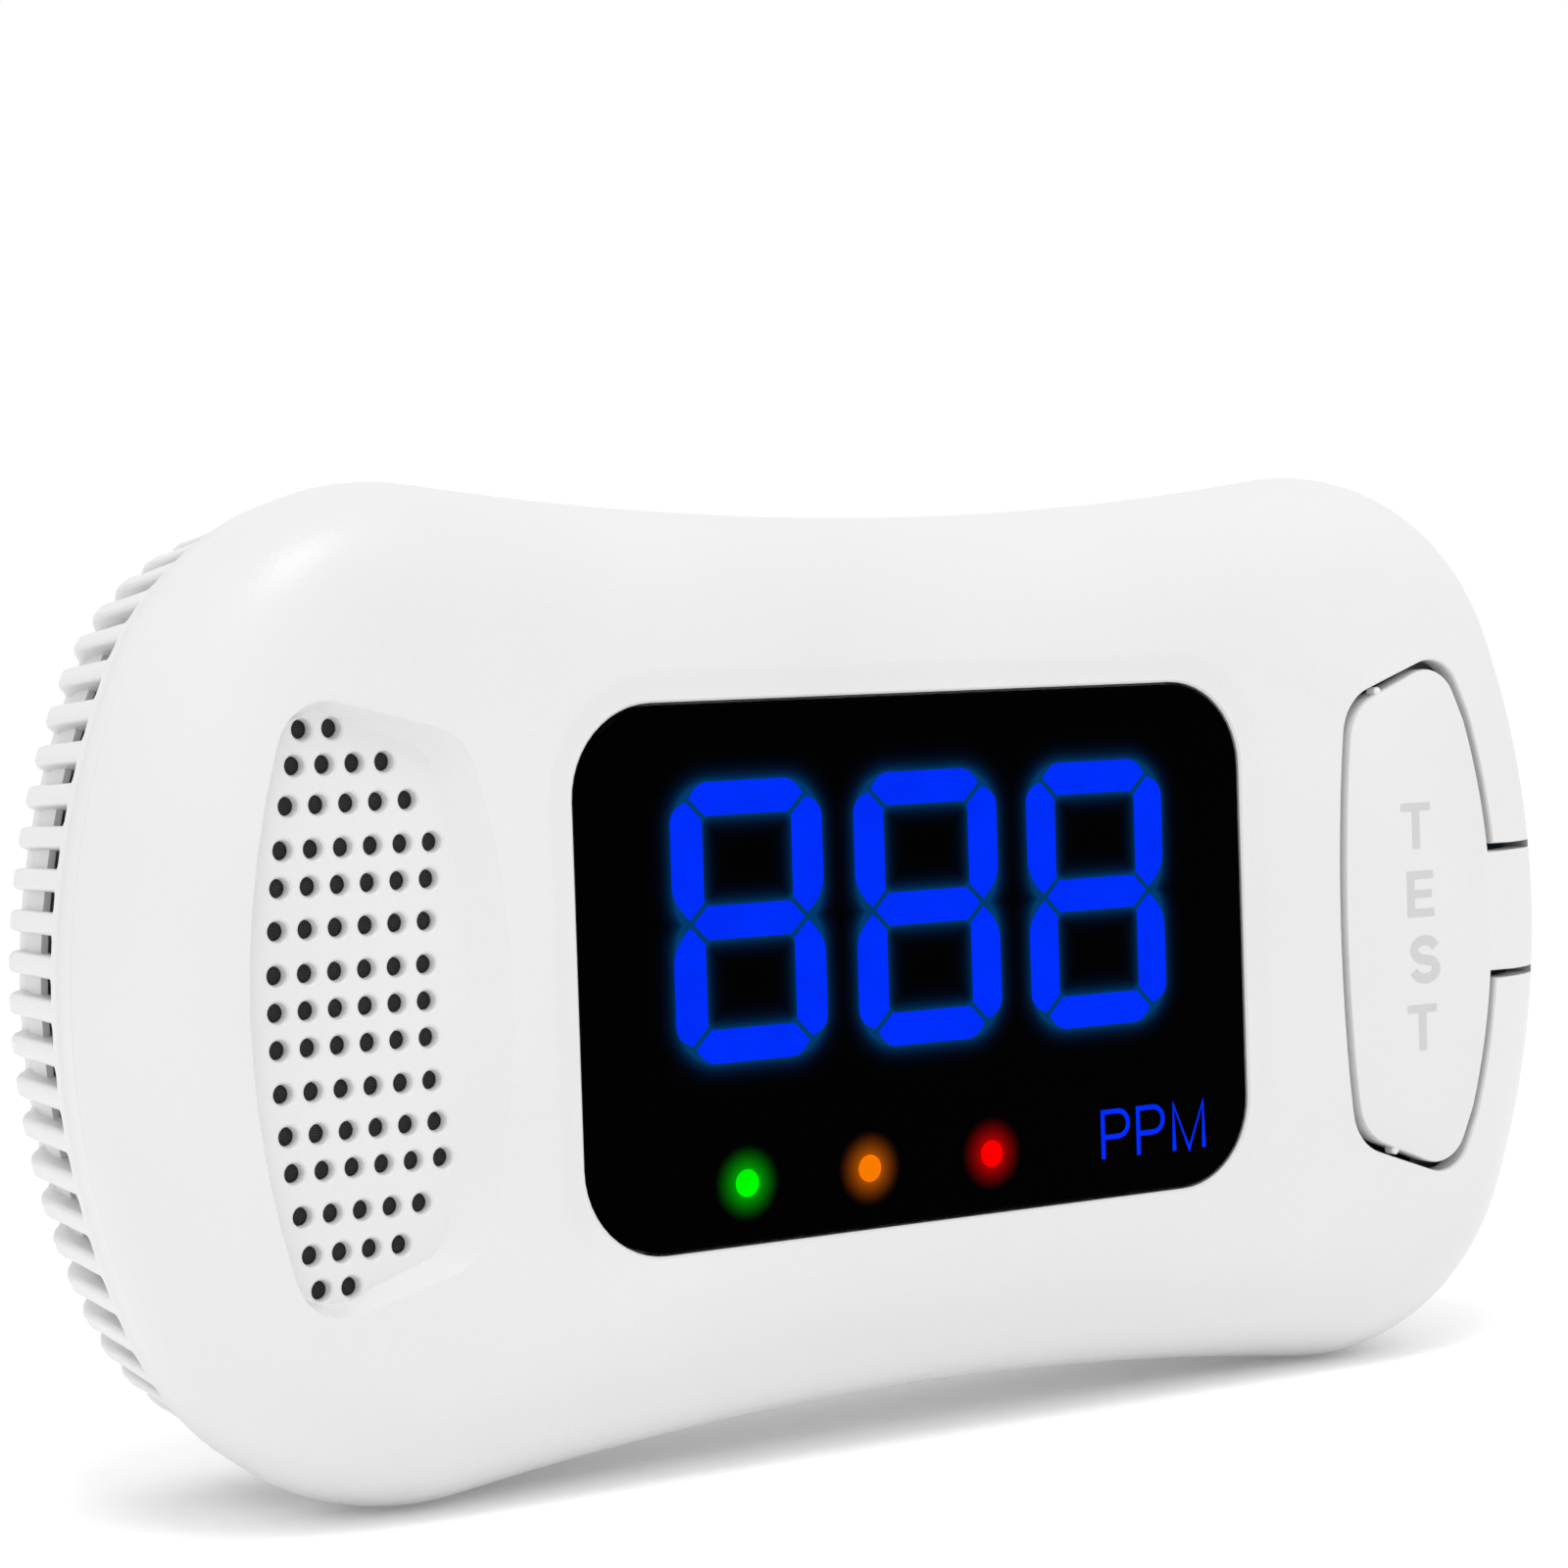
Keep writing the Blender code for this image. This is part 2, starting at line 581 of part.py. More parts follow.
def rear_housing():
    housing = add("rear_housing", rear_shell(), "white_shell")
    low, high = POCKET_Z
    weld(
        housing,
        box((-POCKET_HALF - WALL, POCKET_HALF + WALL), (POCKET_FLOOR - 1.6, 26.0), (low - 1.7, high + 2.9)),
        box((-POCKET_HALF - 1.9, POCKET_HALF + 1.9), (20.0, 32.9), (low - 0.2, high + 2.8)),
        box((-DOOR_HALF - 3.5, DOOR_HALF + 3.5), (30.3, 33.2), (DOOR_LIP_Z, high + 2.9)),
        pillars(BOSSES, REAR_BOSS, BOARD_BACK + GAP, DEPTH - 1.2),
    )
    opening = DOOR_HALF + DOOR_GAP
    top = DOOR_AXIS[2] + 1.6
    notches = [
        box(sorted((side * (DOOR_HALF - 1), side * (DOOR_HALF + 2.2))), (32.9, 40.0), (-40.0, -27.5))
        for side in (-1, 1)
    ]
    sockets = [
        rod(sorted((side * 30.5, side * (DOOR_HALF + 2.2))), DOOR_AXIS[1], DOOR_AXIS[2], HINGE_SOCKET)
        for side in (-1, 1)
    ]
    cut(
        housing,
        box((-POCKET_HALF, POCKET_HALF), (POCKET_FLOOR, 40.0), POCKET_Z),
        box((-opening, opening), (DOOR_FRONT - DOOR_GAP, 40.0), (-45.0, top)),
        box((-opening, opening), (DOOR_LIP - DOOR_GAP, 40.0), (-45.0, DOOR_LIP_Z + DOOR_GAP)),
        together(notches),
        pillars(BOSSES, SCREW_HEAD + 0.4, SCREW_SEAT, DEPTH + 1),
        pillars(BOSSES, CASE_SCREW + 0.4, 10.0, SCREW_SEAT + 2, 8),
        together(sockets),
        together([keyhole(-KEYHOLE_X), keyhole(KEYHOLE_X)]),
        vent_cutters(),
    )


def battery_door():
    """A plate cut from the case's own back surface, with a lip round the lower edge."""
    x, y, z = DOOR_AXIS
    solid = case_loft(rear_profile()[::-1])
    door = add("battery_door", solid, "white_shell", DOOR_AXIS)
    shape(door, "INTERSECT", box((-DOOR_HALF, DOOR_HALF), (DOOR_LIP, 40.0), (-45.0, z)))
    cut(door, box((-40.0, 40.0), (10.0, DOOR_FRONT), (DOOR_LIP_Z, 20.0)))
    weld(
        door,
        rod((-DOOR_HALF, DOOR_HALF), y, z, DEPTH - y - 0.01, 16),
        rod((-DOOR_HALF - 1.5, DOOR_HALF + 1.5), y, z, HINGE_PIN),
    )


# ---- Cells and their contacts ----


def cell(name, z, way):
    """An AA cell along x. Its raised end points the way of its sign."""
    half = CELL_LENGTH / 2
    middle = way * (27.45 - half)
    along = [(-half, 5.6), (-half, CELL_RADIUS - 0.4), (-half + 0.4, CELL_RADIUS), (half - 2.0, CELL_RADIUS)]
    along += [(half - 1.2, CELL_RADIUS - 0.6), (half - 1.2, 2.7), (half, 2.6)]
    rings = []
    for offset, radius in along:
        circle = arc((CELL_Y, z), radius, 0.0, math.tau, 20)
        rings.append([(middle + way * offset, cy, cz) for cy, cz in circle])
    add(name, loft(rings), "cell_jacket")


def spring(name, z, way):
    """A tapered coil of wire between a plate and a cell's flat end."""
    wire, sides, turns, per_turn = 0.4, 5, 3, 10
    start, stop = -way * 27.05, -way * 23.75
    rings = []
    for step in range(turns * per_turn + 1):
        part = step / (turns * per_turn)
        angle = math.tau * step / per_turn
        radius = 4.2 - 1.6 * part
        out = Vector((0.0, math.cos(angle), math.sin(angle)))
        centre = Vector((start + (stop - start) * part, CELL_Y, z)) + out * radius
        ring = []
        for side in range(sides):
            turn = math.tau * side / sides
            spoke = out * math.cos(turn) + Vector((math.sin(turn), 0.0, 0.0))
            ring.append(tuple(centre + wire * spoke))
        rings.append(ring)
    add(name, loft(rings), "steel")


def plate(name, side, zs):
    x = sorted((side * 27.75, side * 28.15))
    add(name, box(x, (18.6, 30.4), (min(zs) - 5.6, max(zs) + 5.6)), "steel")


def power():
    ways = (1, -1, 1)
    for index, (z, way) in enumerate(zip(CELL_Z, ways)):
        cell(f"aa_cell_{index + 1}", z, way)
        spring(f"contact_spring_{index + 1}", z, way)
    plate("contact_plate_1", 1, CELL_Z[:1])
    plate("contact_plate_2", -1, CELL_Z[:2])
    plate("contact_plate_3", 1, CELL_Z[1:])
    plate("contact_plate_4", -1, CELL_Z[2:])


def screw(name, centre, head, shank, seat, rise):
    """A cross-head screw along y, its head behind the seat."""
    top = seat + rise
    profile = [(0.5, SCREW_TIP), (shank, SCREW_TIP + 1.4), (shank, seat)]
    profile += [(head, seat), (head, seat + rise * 0.6), (head * 0.7, top)]
    made = add(name, turned(centre, profile, 10), "steel")
    arm, wide = head * 0.62, head * 0.16
    x, z = centre
    cut(made, box((x - arm, x + arm), (top - 0.8, top + 1), (z - wide, z + wide)))
    cut(made, box((x - wide, x + wide), (top - 0.8, top + 1), (z - arm, z + arm)))


def screws():
    for index, centre in enumerate(BOSSES):
        screw(f"case_screw_{index + 1}", centre, SCREW_HEAD, CASE_SCREW, SCREW_SEAT + GAP, 2.0)
    for index, centre in enumerate(BOARD_POSTS):
        screw(f"pcb_screw_{index + 1}", centre, PCB_HEAD, PCB_SCREW, BOARD_BACK + GAP, 1.3)


def main():
    for obj in list(bpy.data.objects):
        bpy.data.objects.remove(obj, do_unlink=True)
    front_cover()
    test_button()
    display_lens()
    display()
    indicator_lamps()
    sounder()
    main_board()
    board_parts()
    test_switch()
    rear_housing()
    battery_door()
    power()
    screws()


main()
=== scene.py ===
"""Looks for the wall-mounted carbon monoxide alarm: smooth moulded shells, a smoked window
with lit figures, and materials for the cells, screws and contacts that stay in sight.

Shapes are worked out in millimetres in the case's own coordinates: x runs right, y runs
back from the front face and z runs up from mid-height. place() turns them into metres in
the frame, whose origin is on the back face between the keyholes.
"""

import math

import bmesh
import bpy
from mathutils import Matrix, Vector


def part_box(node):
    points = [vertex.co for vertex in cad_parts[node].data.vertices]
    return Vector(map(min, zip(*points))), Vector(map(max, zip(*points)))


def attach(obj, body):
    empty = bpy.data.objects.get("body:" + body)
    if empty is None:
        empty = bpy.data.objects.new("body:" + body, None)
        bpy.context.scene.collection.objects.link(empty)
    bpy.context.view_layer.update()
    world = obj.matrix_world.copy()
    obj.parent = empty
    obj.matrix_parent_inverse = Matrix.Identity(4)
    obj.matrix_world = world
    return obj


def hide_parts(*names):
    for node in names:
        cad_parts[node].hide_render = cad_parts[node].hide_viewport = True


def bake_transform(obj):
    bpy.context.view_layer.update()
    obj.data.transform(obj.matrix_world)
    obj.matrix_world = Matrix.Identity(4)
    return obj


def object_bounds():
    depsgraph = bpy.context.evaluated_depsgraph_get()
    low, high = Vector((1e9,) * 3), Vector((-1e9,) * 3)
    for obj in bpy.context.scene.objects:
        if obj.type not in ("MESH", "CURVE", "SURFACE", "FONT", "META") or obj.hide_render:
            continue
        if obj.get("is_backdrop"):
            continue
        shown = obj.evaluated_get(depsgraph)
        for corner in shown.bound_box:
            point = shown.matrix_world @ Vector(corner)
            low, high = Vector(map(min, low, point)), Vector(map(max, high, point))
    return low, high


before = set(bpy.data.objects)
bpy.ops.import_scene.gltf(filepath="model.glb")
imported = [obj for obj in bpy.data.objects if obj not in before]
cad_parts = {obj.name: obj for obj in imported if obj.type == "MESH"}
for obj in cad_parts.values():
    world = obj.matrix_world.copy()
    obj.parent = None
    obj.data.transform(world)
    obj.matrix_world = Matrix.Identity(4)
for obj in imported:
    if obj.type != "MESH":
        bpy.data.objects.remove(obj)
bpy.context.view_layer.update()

MM = 0.001

# ---- Sizes, read from the frame where it has them ----

CASE_LOW, CASE_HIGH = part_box("front_cover")
REAR_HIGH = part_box("rear_housing")[1]
WIDTH = round((CASE_HIGH.x - CASE_LOW.x) / MM, 2)
DEPTH = round((REAR_HIGH.y - CASE_LOW.y) / MM, 2)
MOUNT_HEIGHT = -round((CASE_LOW.z + CASE_HIGH.z) / 2 / MM, 2)

LOBE_HALF = 40.0
WAIST_HALF = 36.8
END_RADIUS = 66.0
CORNER_RADIUS = 22.3
END_STEPS, CORNER_STEPS, WAIST_STEPS = 16, 22, 14

WALL = 2.0
GAP = 0.3
SEAM = 11.1
HAIRLINE = 0.12
ROUNDNESS = 2.2
FRONT_RUN = 11.1
FRONT_RISE = 10.7
REAR_RUN = 10.6
REAR_START = 26.3
REAR_INSET = 2.4
BAND_END = 15.0
BAND_STEP = 1.1
LIP_FRONT = 9.5
LIP_INSET = 2.4
LIP_WALL = 1.0

WINDOW = (-1.0, 0.15)
WINDOW_SIZE = (67.9, 43.8)
WINDOW_CORNER = 7.5
LENS_FRONT = 0.6
LENS_BACK = 2.1
SEAT = 3.2
SEAT_BACK = 4.8
SEAT_WIDTH = 1.7
DIGIT_X = (-18.8, -1.05, 16.7)
DIGIT_PITCH = 17.75
DIGIT_Z = 4.35
DIGIT_HALF = (7.3, 11.25)
UPRIGHT, LEVEL = 3.0, 2.7
MITRE_REACH = 1.45
MITRE_GAP = 0.3
# The blue light's rounding round a figure and its fall in each millimetre, and each lamp's fall.
GLOW_CORNER = 2.4
GLOW_FALL = -2.6
LAMP_FALL = -0.48
# A level stroke's thickness, as a share of an upright one's.
ARM_SHARE = 0.78
LAMPS = {"green": -19.85, "amber": -7.8, "red": 4.7}
LAMP_Z = -16.7
LAMP_RADIUS = 1.12

GRILLE_DEPTH = 1.55
GRILLE_BACK = 2.4
GRILLE_RIM = ((-63.7, -59.3), (-44.6, -41.3), (24.0, 20.2))
GRILLE_FLOOR = ((-63.3, -59.1), (-47.2, -44.3), (23.2, 19.2))
# The radii of the recess's right and left corners.
GRILLE_RIM_CORNERS = (4.6, 4.1)
GRILLE_FLOOR_CORNERS = (3.2, 3.8)
GRILLE_BACK_CORNERS = (2.5, 2.5)
DUST_CORNERS = (4.6, 2.5)
HOLE_PITCH = 2.54
HOLE_ROWS = ((0.0, 6), (2.8, 6), (6.1, 6), (9.3, 6), (12.1, 6), (15.4, 5), (18.4, 4), (21.1, 2))
HOLE_ARC = 80.0
HOLE_FIRST_X = -60.6
# A hole's radius at each depth below the recess's floor, and at the grille's back.
HOLE_PROFILE = ((1.1, -0.1), (1.02, 0.0), (0.86, 0.14), (0.76, 0.4))
HOLE_END_RADIUS = 0.66

BUTTON_ROOT = 69.0
BUTTON_TONGUE_HALF = 5.8
BUTTON_INSET = 10.5
BUTTON_EDGE = 44.2
BUTTON_SHOULDER_Z = 20.9
# The button's two corners in each half: x (the tip's from its side arc), z and radius.
BUTTON_TIP = (-1.6, 23.6, 3.6)
BUTTON_CORNER = (45.4, 19.4, 4.6)
# Half the slot's width at each depth.
SLOT_PROFILE = ((0.6, -1.0), (0.6, 0.0), (0.43, 0.07), (0.35, 0.3), (0.35, 9.0))
SLOT_ROOT = BUTTON_ROOT + 0.3
TONGUE_END = BUTTON_ROOT + 0.28
NUBS = ((49.0, 20.45), (49.7, -20.7))
POST = (50.0, 0.0)
POST_FRONT = 1.5
POST_END = 6.4
WORD_STROKE = 0.88
WORD_PROUD = 0.035
UNIT_STROKE, UNIT_HEIGHT, UNIT_Z = 0.42, 4.0, -18.35

VENTS_PER_HALF = 14
VENT_PITCH = 3.45
VENT_WIDTH = 1.55
VENT_FRONT = 17.4
VENT_INSET = 5.1
VENT_OPEN = 7.3
GROOVE_DEPTH = 1.5
# The share of a vent's width behind its front, which rounds that end, and where its full width is drawn.
VENT_EASING = ((0.0, 0.3), (0.06, 0.52), (0.18, 0.72), (0.36, 0.88), (0.7, 1.0))
VENT_STATIONS = (2.2, 4.5, 7.2, 7.5, 9.5, 11.5, 13.0, 14.5, 16.0, 17.0)
# How far a vent's side is cut back at each depth below the surface, which rounds the ribs.
RIB_ROUNDING = ((0.5, 0.0), (0.26, 0.07), (0.09, 0.24), (0.0, 0.42))
RIB_TOP = (-1.5, 1.0)

BOARD_FRONT, BOARD_BACK = 12.2, 13.8
BOSSES = [(sx * 38.0, sz * 27.0) for sz in (1, -1) for sx in (-1, 1)]
BOARD_POSTS = [(-38.6, 16.0), (38.6, -16.0)]
BOSS_RADIUS, BOARD_POST_RADIUS, REAR_BOSS_RADIUS = 3.2, 2.2, 3.6
BOSS_PILOT, BOARD_PILOT, SHANK_HOLE = 1.5, 1.2, 1.6
PILOT_DEPTHS = (4.5, 14.0)
SCREW_SEAT = 26.0
# A screw well's radius at each depth.
WELL_PROFILE = ((2.8, SCREW_SEAT), (2.8, DEPTH - 0.9), (3.1, DEPTH + 0.1), (3.6, DEPTH + 1.0))

POCKET_HALF = 28.5
POCKET_FLOOR = 17.0
POCKET_Z = (-32.3, 11.9)
POCKET_WALL = (1.7, 2.9)
DOOR_HALF = 31.0
DOOR_FRONT = 32.1
DOOR_LIP = 30.4
DOOR_LIP_Z = -31.0
DOOR_GAP = 0.35
DOOR_AXIS = (0.0, 33.35, 12.0)
HINGE_PIN = 0.7
HINGE_PIN_END = DOOR_HALF + 1.5
HINGE_SOCKET = 1.0
SOCKET_END = DOOR_HALF + 2.2
NOTCH_FRONT, NOTCH_TOP = 32.9, -27.5
# Past the case on any side, for the tools that cut it.
BEYOND = 40.0
KEYHOLE_X = 50.0
KEYHOLE_HEAD_Z = 12.0
KEYHOLE_HEAD_RADIUS = 4.3
KEYHOLE_NECK_RISE = 3.8
KEYHOLE_SLOT = 2.1


# ---- Outlines, as lists of (x, z) ----


def arc(centre, radius, start, stop, steps):
    """Points on an arc from start to stop, in radians, without the last one."""
    turns = [start + (stop - start) * step / steps for step in range(steps)]
    return [(centre[0] + radius * math.cos(a), centre[1] + radius * math.sin(a)) for a in turns]


def case_arcs():
    """The end, corner and waist arcs of one quarter, each (centre, radius, start, stop)."""
    end = (WIDTH / 2 - END_RADIUS, 0.0)
    corner_z = LOBE_HALF - CORNER_RADIUS
    reach = math.sqrt((END_RADIUS - CORNER_RADIUS) ** 2 - corner_z**2)
    corner = (end[0] + reach, corner_z)
    rise = WAIST_HALF - corner_z
    waist_radius = (corner[0] ** 2 + rise**2 - CORNER_RADIUS**2) / (2 * (CORNER_RADIUS - rise))
    waist = (0.0, WAIST_HALF + waist_radius)
    leave_end = math.atan2(corner_z, reach)
    leave_corner = math.atan2(waist[1] - corner[1], -corner[0])
    return (
        (end, END_RADIUS, 0.0, leave_end),
        (corner, CORNER_RADIUS, leave_end, leave_corner),
        (waist, waist_radius, leave_corner - math.pi, -math.pi / 2),
    )


def case_outline(inset=0.0):
    """The case's whole outline, drawn in by inset."""
    end, corner, waist = case_arcs()
    quarter = arc(end[0], end[1] - inset, end[2], end[3], END_STEPS)
    quarter += arc(corner[0], corner[1] - inset, corner[2], corner[3], CORNER_STEPS)
    quarter += arc(waist[0], waist[1] + inset, waist[2], waist[3], WAIST_STEPS)
    top = quarter + [(0.0, WAIST_HALF - inset)] + [(-x, z) for x, z in reversed(quarter)]
    return top + [(x, -z) for x, z in reversed(top[1:-1])]


def along_end(distance):
    """Outline point and outward angle at a distance round the right-hand end."""
    end, corner, _ = case_arcs()
    side = math.copysign(1.0, distance)
    first = end[1] * end[3]
    if abs(distance) <= first:
        centre, radius, angle = end[0], end[1], abs(distance) / end[1]
    else:
        centre, radius = corner[0], corner[1]
        angle = corner[2] + (abs(distance) - first) / corner[1]
    x = centre[0] + radius * math.cos(angle)
    z = centre[1] + radius * math.sin(angle)
    return (x, side * z), side * angle


def rounded(corners, steps=8):
    """A closed outline through (x, z, radius) corners, where a radius rounds its corner."""
    points = []
    for index, (x, z, radius) in enumerate(corners):
        here = Vector((x, z))
        if radius == 0:
            points.append((x, z))
            continue
        back = (Vector(corners[index - 1][:2]) - here).normalized()
        ahead = (Vector(corners[(index + 1) % len(corners)][:2]) - here).normalized()
        half = back.angle(ahead) / 2
        centre = here + (back + ahead).normalized() * radius / math.sin(half)
        spoke = here + back * radius / math.tan(half) - centre
        sweep = math.copysign(math.pi - 2 * half, spoke.y * back.x - spoke.x * back.y)
        for step in range(steps + 1):
            spun = Matrix.Rotation(sweep * step / steps, 2) @ spoke
            points.append(tuple(centre + spun))
    return points


def rounded_rectangle(centre, size, radius, grow=0.0, steps=12):
    half_x, half_z = size[0] / 2 + grow, size[1] / 2 + grow
    signs = ((1, 1), (-1, 1), (-1, -1), (1, -1))
    corners = [(centre[0] + sx * half_x, centre[1] + sz * half_z, radius + grow) for sx, sz in signs]
    return rounded(corners, steps)


def window_outline(grow=0.0):
    return rounded_rectangle(WINDOW, WINDOW_SIZE, WINDOW_CORNER, grow)


def bowed(peak, end, half_height, steps):
    """Inner points of an upright arc through (end, ±half_height) and (peak, 0), going up."""
    bow = end - peak
    radius = (half_height**2 + bow**2) / (2 * bow)
    heights = [half_height * (2 * step / steps - 1) for step in range(1, steps)]
    root = [math.copysign(math.sqrt(radius**2 - z * z), radius) for z in heights]
    return [(peak + radius - r, z, 0.0) for r, z in zip(root, heights)]


def grille_outline(shape, grow=0.0, corners=GRILLE_BACK_CORNERS):
    """The sounder recess: two bowed sides joined by slanted ends."""
    (left_peak, left_end), (right_end, right_peak), (left_z, right_z) = shape
    corner, left_corner = corners
    left_peak, left_end = left_peak - grow, left_end - grow
    right_end, right_peak = right_end + grow, right_peak + grow
    left_z, right_z = left_z + grow, right_z + grow
    right = [(right_end, -right_z, corner)] + bowed(right_peak, right_end, right_z, 12)[1:-1]
    left = [(left_end, left_z, left_corner)] + bowed(left_peak, left_end, left_z, 12)[::-1]
    return rounded(right + [(right_end, right_z, corner)] + left + [(left_end, -left_z, left_corner)])


def button_outline(grow=0.0, root=BUTTON_ROOT):
    """The test button with its tongue, grown or drawn in all round but for its root."""
    end = case_arcs()[0]
    radius = END_RADIUS - BUTTON_INSET + grow
    tongue = BUTTON_TONGUE_HALF + grow
    low = math.asin(tongue / radius)
    high = math.asin((BUTTON_SHOULDER_Z + grow) / radius)
    side = [(x, z, 0.0) for x, z in arc(end[0], radius, low, high, 10)[:-1]]
    shoulder_x = end[0][0] + radius * math.cos(high)
    tip = (shoulder_x + BUTTON_TIP[0], BUTTON_TIP[1] + grow, BUTTON_TIP[2])
    shoulder = (BUTTON_CORNER[0] - grow, BUTTON_CORNER[1] + grow, BUTTON_CORNER[2])
    inner = bowed(BUTTON_EDGE - grow, shoulder[0], shoulder[1], 14)[::-1][1:-1]
    top = side + [tip, shoulder]
    bottom = [(x, -z, r) for x, z, r in reversed(top)]
    return rounded([(root, tongue, 0.0)] + top + inner + bottom + [(root, -tongue, 0.0)])


def dome(inset, run, start, rise, steps):
    """Rounded edge of a shell, as (inset, y), from the wall at start to the flat face."""
    turns = [math.pi / 2 * step / steps for step in range(steps + 1)]
    power = 2 / ROUNDNESS
    across = [inset + run * (1 - max(math.cos(a), 0.0) ** power) for a in turns]
    return [(across[i], start + rise * math.sin(a) ** power) for i, a in enumerate(turns)]


def rear_inset(y):
    """How far the back half's wall is drawn in at a depth y."""
    if y <= REAR_START:
        part = (y - BAND_END - 1.3) / (REAR_START - BAND_END - 1.3)
        return BAND_STEP + (REAR_INSET - BAND_STEP) * max(part, 0.0)
    part = min((y - REAR_START) / (DEPTH - REAR_START), 1.0)
    return REAR_INSET + REAR_RUN * (1 - (1 - part**ROUNDNESS) ** (1 / ROUNDNESS))


# ---- Solids, as meshes in the case's coordinates ----


def loft(rings):
    """A closed solid through rings of as many (x, y, z) points each, capped at both ends."""
    mesh = bmesh.new()
    loops = [[mesh.verts.new(point) for point in ring] for ring in rings]
    for near, far in zip(loops, loops[1:]):
        for index in range(len(near)):
            after = (index + 1) % len(near)
            mesh.faces.new((near[index], near[after], far[after], far[index]))
    mesh.faces.new(loops[0][::-1])
    mesh.faces.new(loops[-1])
    if mesh.calc_volume(signed=True) < 0:
        bmesh.ops.reverse_faces(mesh, faces=mesh.faces)
    return mesh


def case_loft(profile):
    return loft([[(x, y, z) for x, z in case_outline(inset)] for inset, y in profile])


def stack(layers):
    """A solid through (outline, y) layers."""
    return loft([[(x, y, z) for x, z in outline] for outline, y in layers])


def prism(outline, front, back):
    return stack([(outline, front), (outline, back)])


def box(x, y, z):
    return prism([(x[0], z[0]), (x[1], z[0]), (x[1], z[1]), (x[0], z[1])], y[0], y[1])


def turned(centre, profile, sides=32):
    """A solid of revolution about a line along y. The profile is (radius, y) from end to end."""
    return stack([(arc(centre, r, 0.0, math.tau, sides), y) for r, y in profile])


def turned_x(centre, profile, sides=32):
    """A solid of revolution about a line along x, through centre (y, z)."""
    rings = []
    for radius, x in profile:
        rings.append([(x, y, z) for y, z in arc(centre, radius, 0.0, math.tau, sides)])
    return loft(rings)


def together(meshes):
    """One mesh that holds several solids, which don't touch."""
    whole = bmesh.new()
    for mesh in meshes:
        data = bpy.data.meshes.new("part")
        mesh.to_mesh(data)
        mesh.free()
        whole.from_mesh(data)
        bpy.data.meshes.remove(data)
    return whole


def place(name, mesh):
    """An object at the frame's origin, with its shape in metres where the frame has it."""
    mesh.transform(Matrix.Scale(MM, 4) @ Matrix.Translation((0.0, -DEPTH, -MOUNT_HEIGHT)))
    data = bpy.data.meshes.new(name)
    mesh.to_mesh(data)
    mesh.free()
    obj = bpy.data.objects.new(name, data)
    bpy.context.scene.collection.objects.link(obj)
    return obj


def carve(obj, steps):
    """Applies (operation, mesh) Booleans to an object, in order."""
    tools = []
    for index, (operation, mesh) in enumerate(steps):
        tool = place(f"{obj.name}_tool_{index}", mesh)
        tools.append(tool)
        modifier = obj.modifiers.new(operation, "BOOLEAN")
        modifier.operation = operation
        modifier.object = tool
    bpy.context.view_layer.update()
    graph = bpy.context.evaluated_depsgraph_get()
    solid = bpy.data.meshes.new_from_object(obj.evaluated_get(graph))
    obj.modifiers.clear()
    obj.data = solid
    for tool in tools:
        bpy.data.objects.remove(tool)
    return obj


def smooth(obj, angle=32):
    obj.data.shade_smooth()
    obj.data.set_sharp_from_angle(angle=math.radians(angle))


def piece(obj, body, look, replaces=(), angle=32):
    """Finishes a shown piece: shading, material, body and the CAD nodes that it stands for."""
    smooth(obj, angle)
    obj.data.materials.clear()
    obj.data.materials.append(look)
    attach(obj, body)
    if replaces:
        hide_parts(*replaces)
    return obj


# ---- Materials ----


class Maths:
    """Builds a shader's number nodes from plain arithmetic."""

    def __init__(self, tree, socket):
        self.tree, self.socket = tree, socket

    def _node(self, operation, *values):
        node = self.tree.nodes.new("ShaderNodeMath")
        node.operation = operation
        for slot, value in zip(node.inputs, values):
            if isinstance(value, Maths):
                self.tree.links.new(value.socket, slot)
            else:
                slot.default_value = value
        return Maths(self.tree, node.outputs[0])

    def __add__(self, other):
        return self._node("ADD", self, other)

    def __sub__(self, other):
        return self._node("SUBTRACT", self, other)

    def __mul__(self, other):
        return self._node("MULTIPLY", self, other)

    def __abs__(self):
        return self._node("ABSOLUTE", self)

    def call(self, operation, *others):
        return self._node(operation, self, *others)


def new_material(name, colour, roughness, metallic=0.0):
    made = bpy.data.materials.new(name)
    made.use_nodes = True
    shader = made.node_tree.nodes["Principled BSDF"]
    shader.inputs["Base Color"].default_value = (*colour, 1.0)
    shader.inputs["Roughness"].default_value = roughness
    shader.inputs["Metallic"].default_value = metallic
    return made, made.node_tree, shader


def object_points(tree):
    return tree.nodes.new("ShaderNodeTexCoord").outputs["Object"]


def noise(tree, scale, detail=2.0, points=None, stretch=None):
    """A noise value over the surface, with scale in cycles per metre."""
    points = points or object_points(tree)
    if stretch:
        mapping = tree.nodes.new("ShaderNodeMapping")
        mapping.inputs["Scale"].default_value = stretch
        tree.links.new(points, mapping.inputs["Vector"])
        points = mapping.outputs["Vector"]
    node = tree.nodes.new("ShaderNodeTexNoise")
    node.inputs["Scale"].default_value = scale
    node.inputs["Detail"].default_value = detail
    tree.links.new(points, node.inputs["Vector"])
    return node.outputs["Fac"]


def ramp(tree, value, stops):
    """A colour ramp over a value, as (position, colour) stops."""
    node = tree.nodes.new("ShaderNodeValToRGB")
    elements = node.color_ramp.elements
    while len(elements) < len(stops):
        elements.new(0.5)
    for element, (position, colour) in zip(elements, stops):
        element.position = position
        element.color = (*colour, 1.0)
    tree.links.new(value, node.inputs["Fac"])
    return node.outputs["Color"]


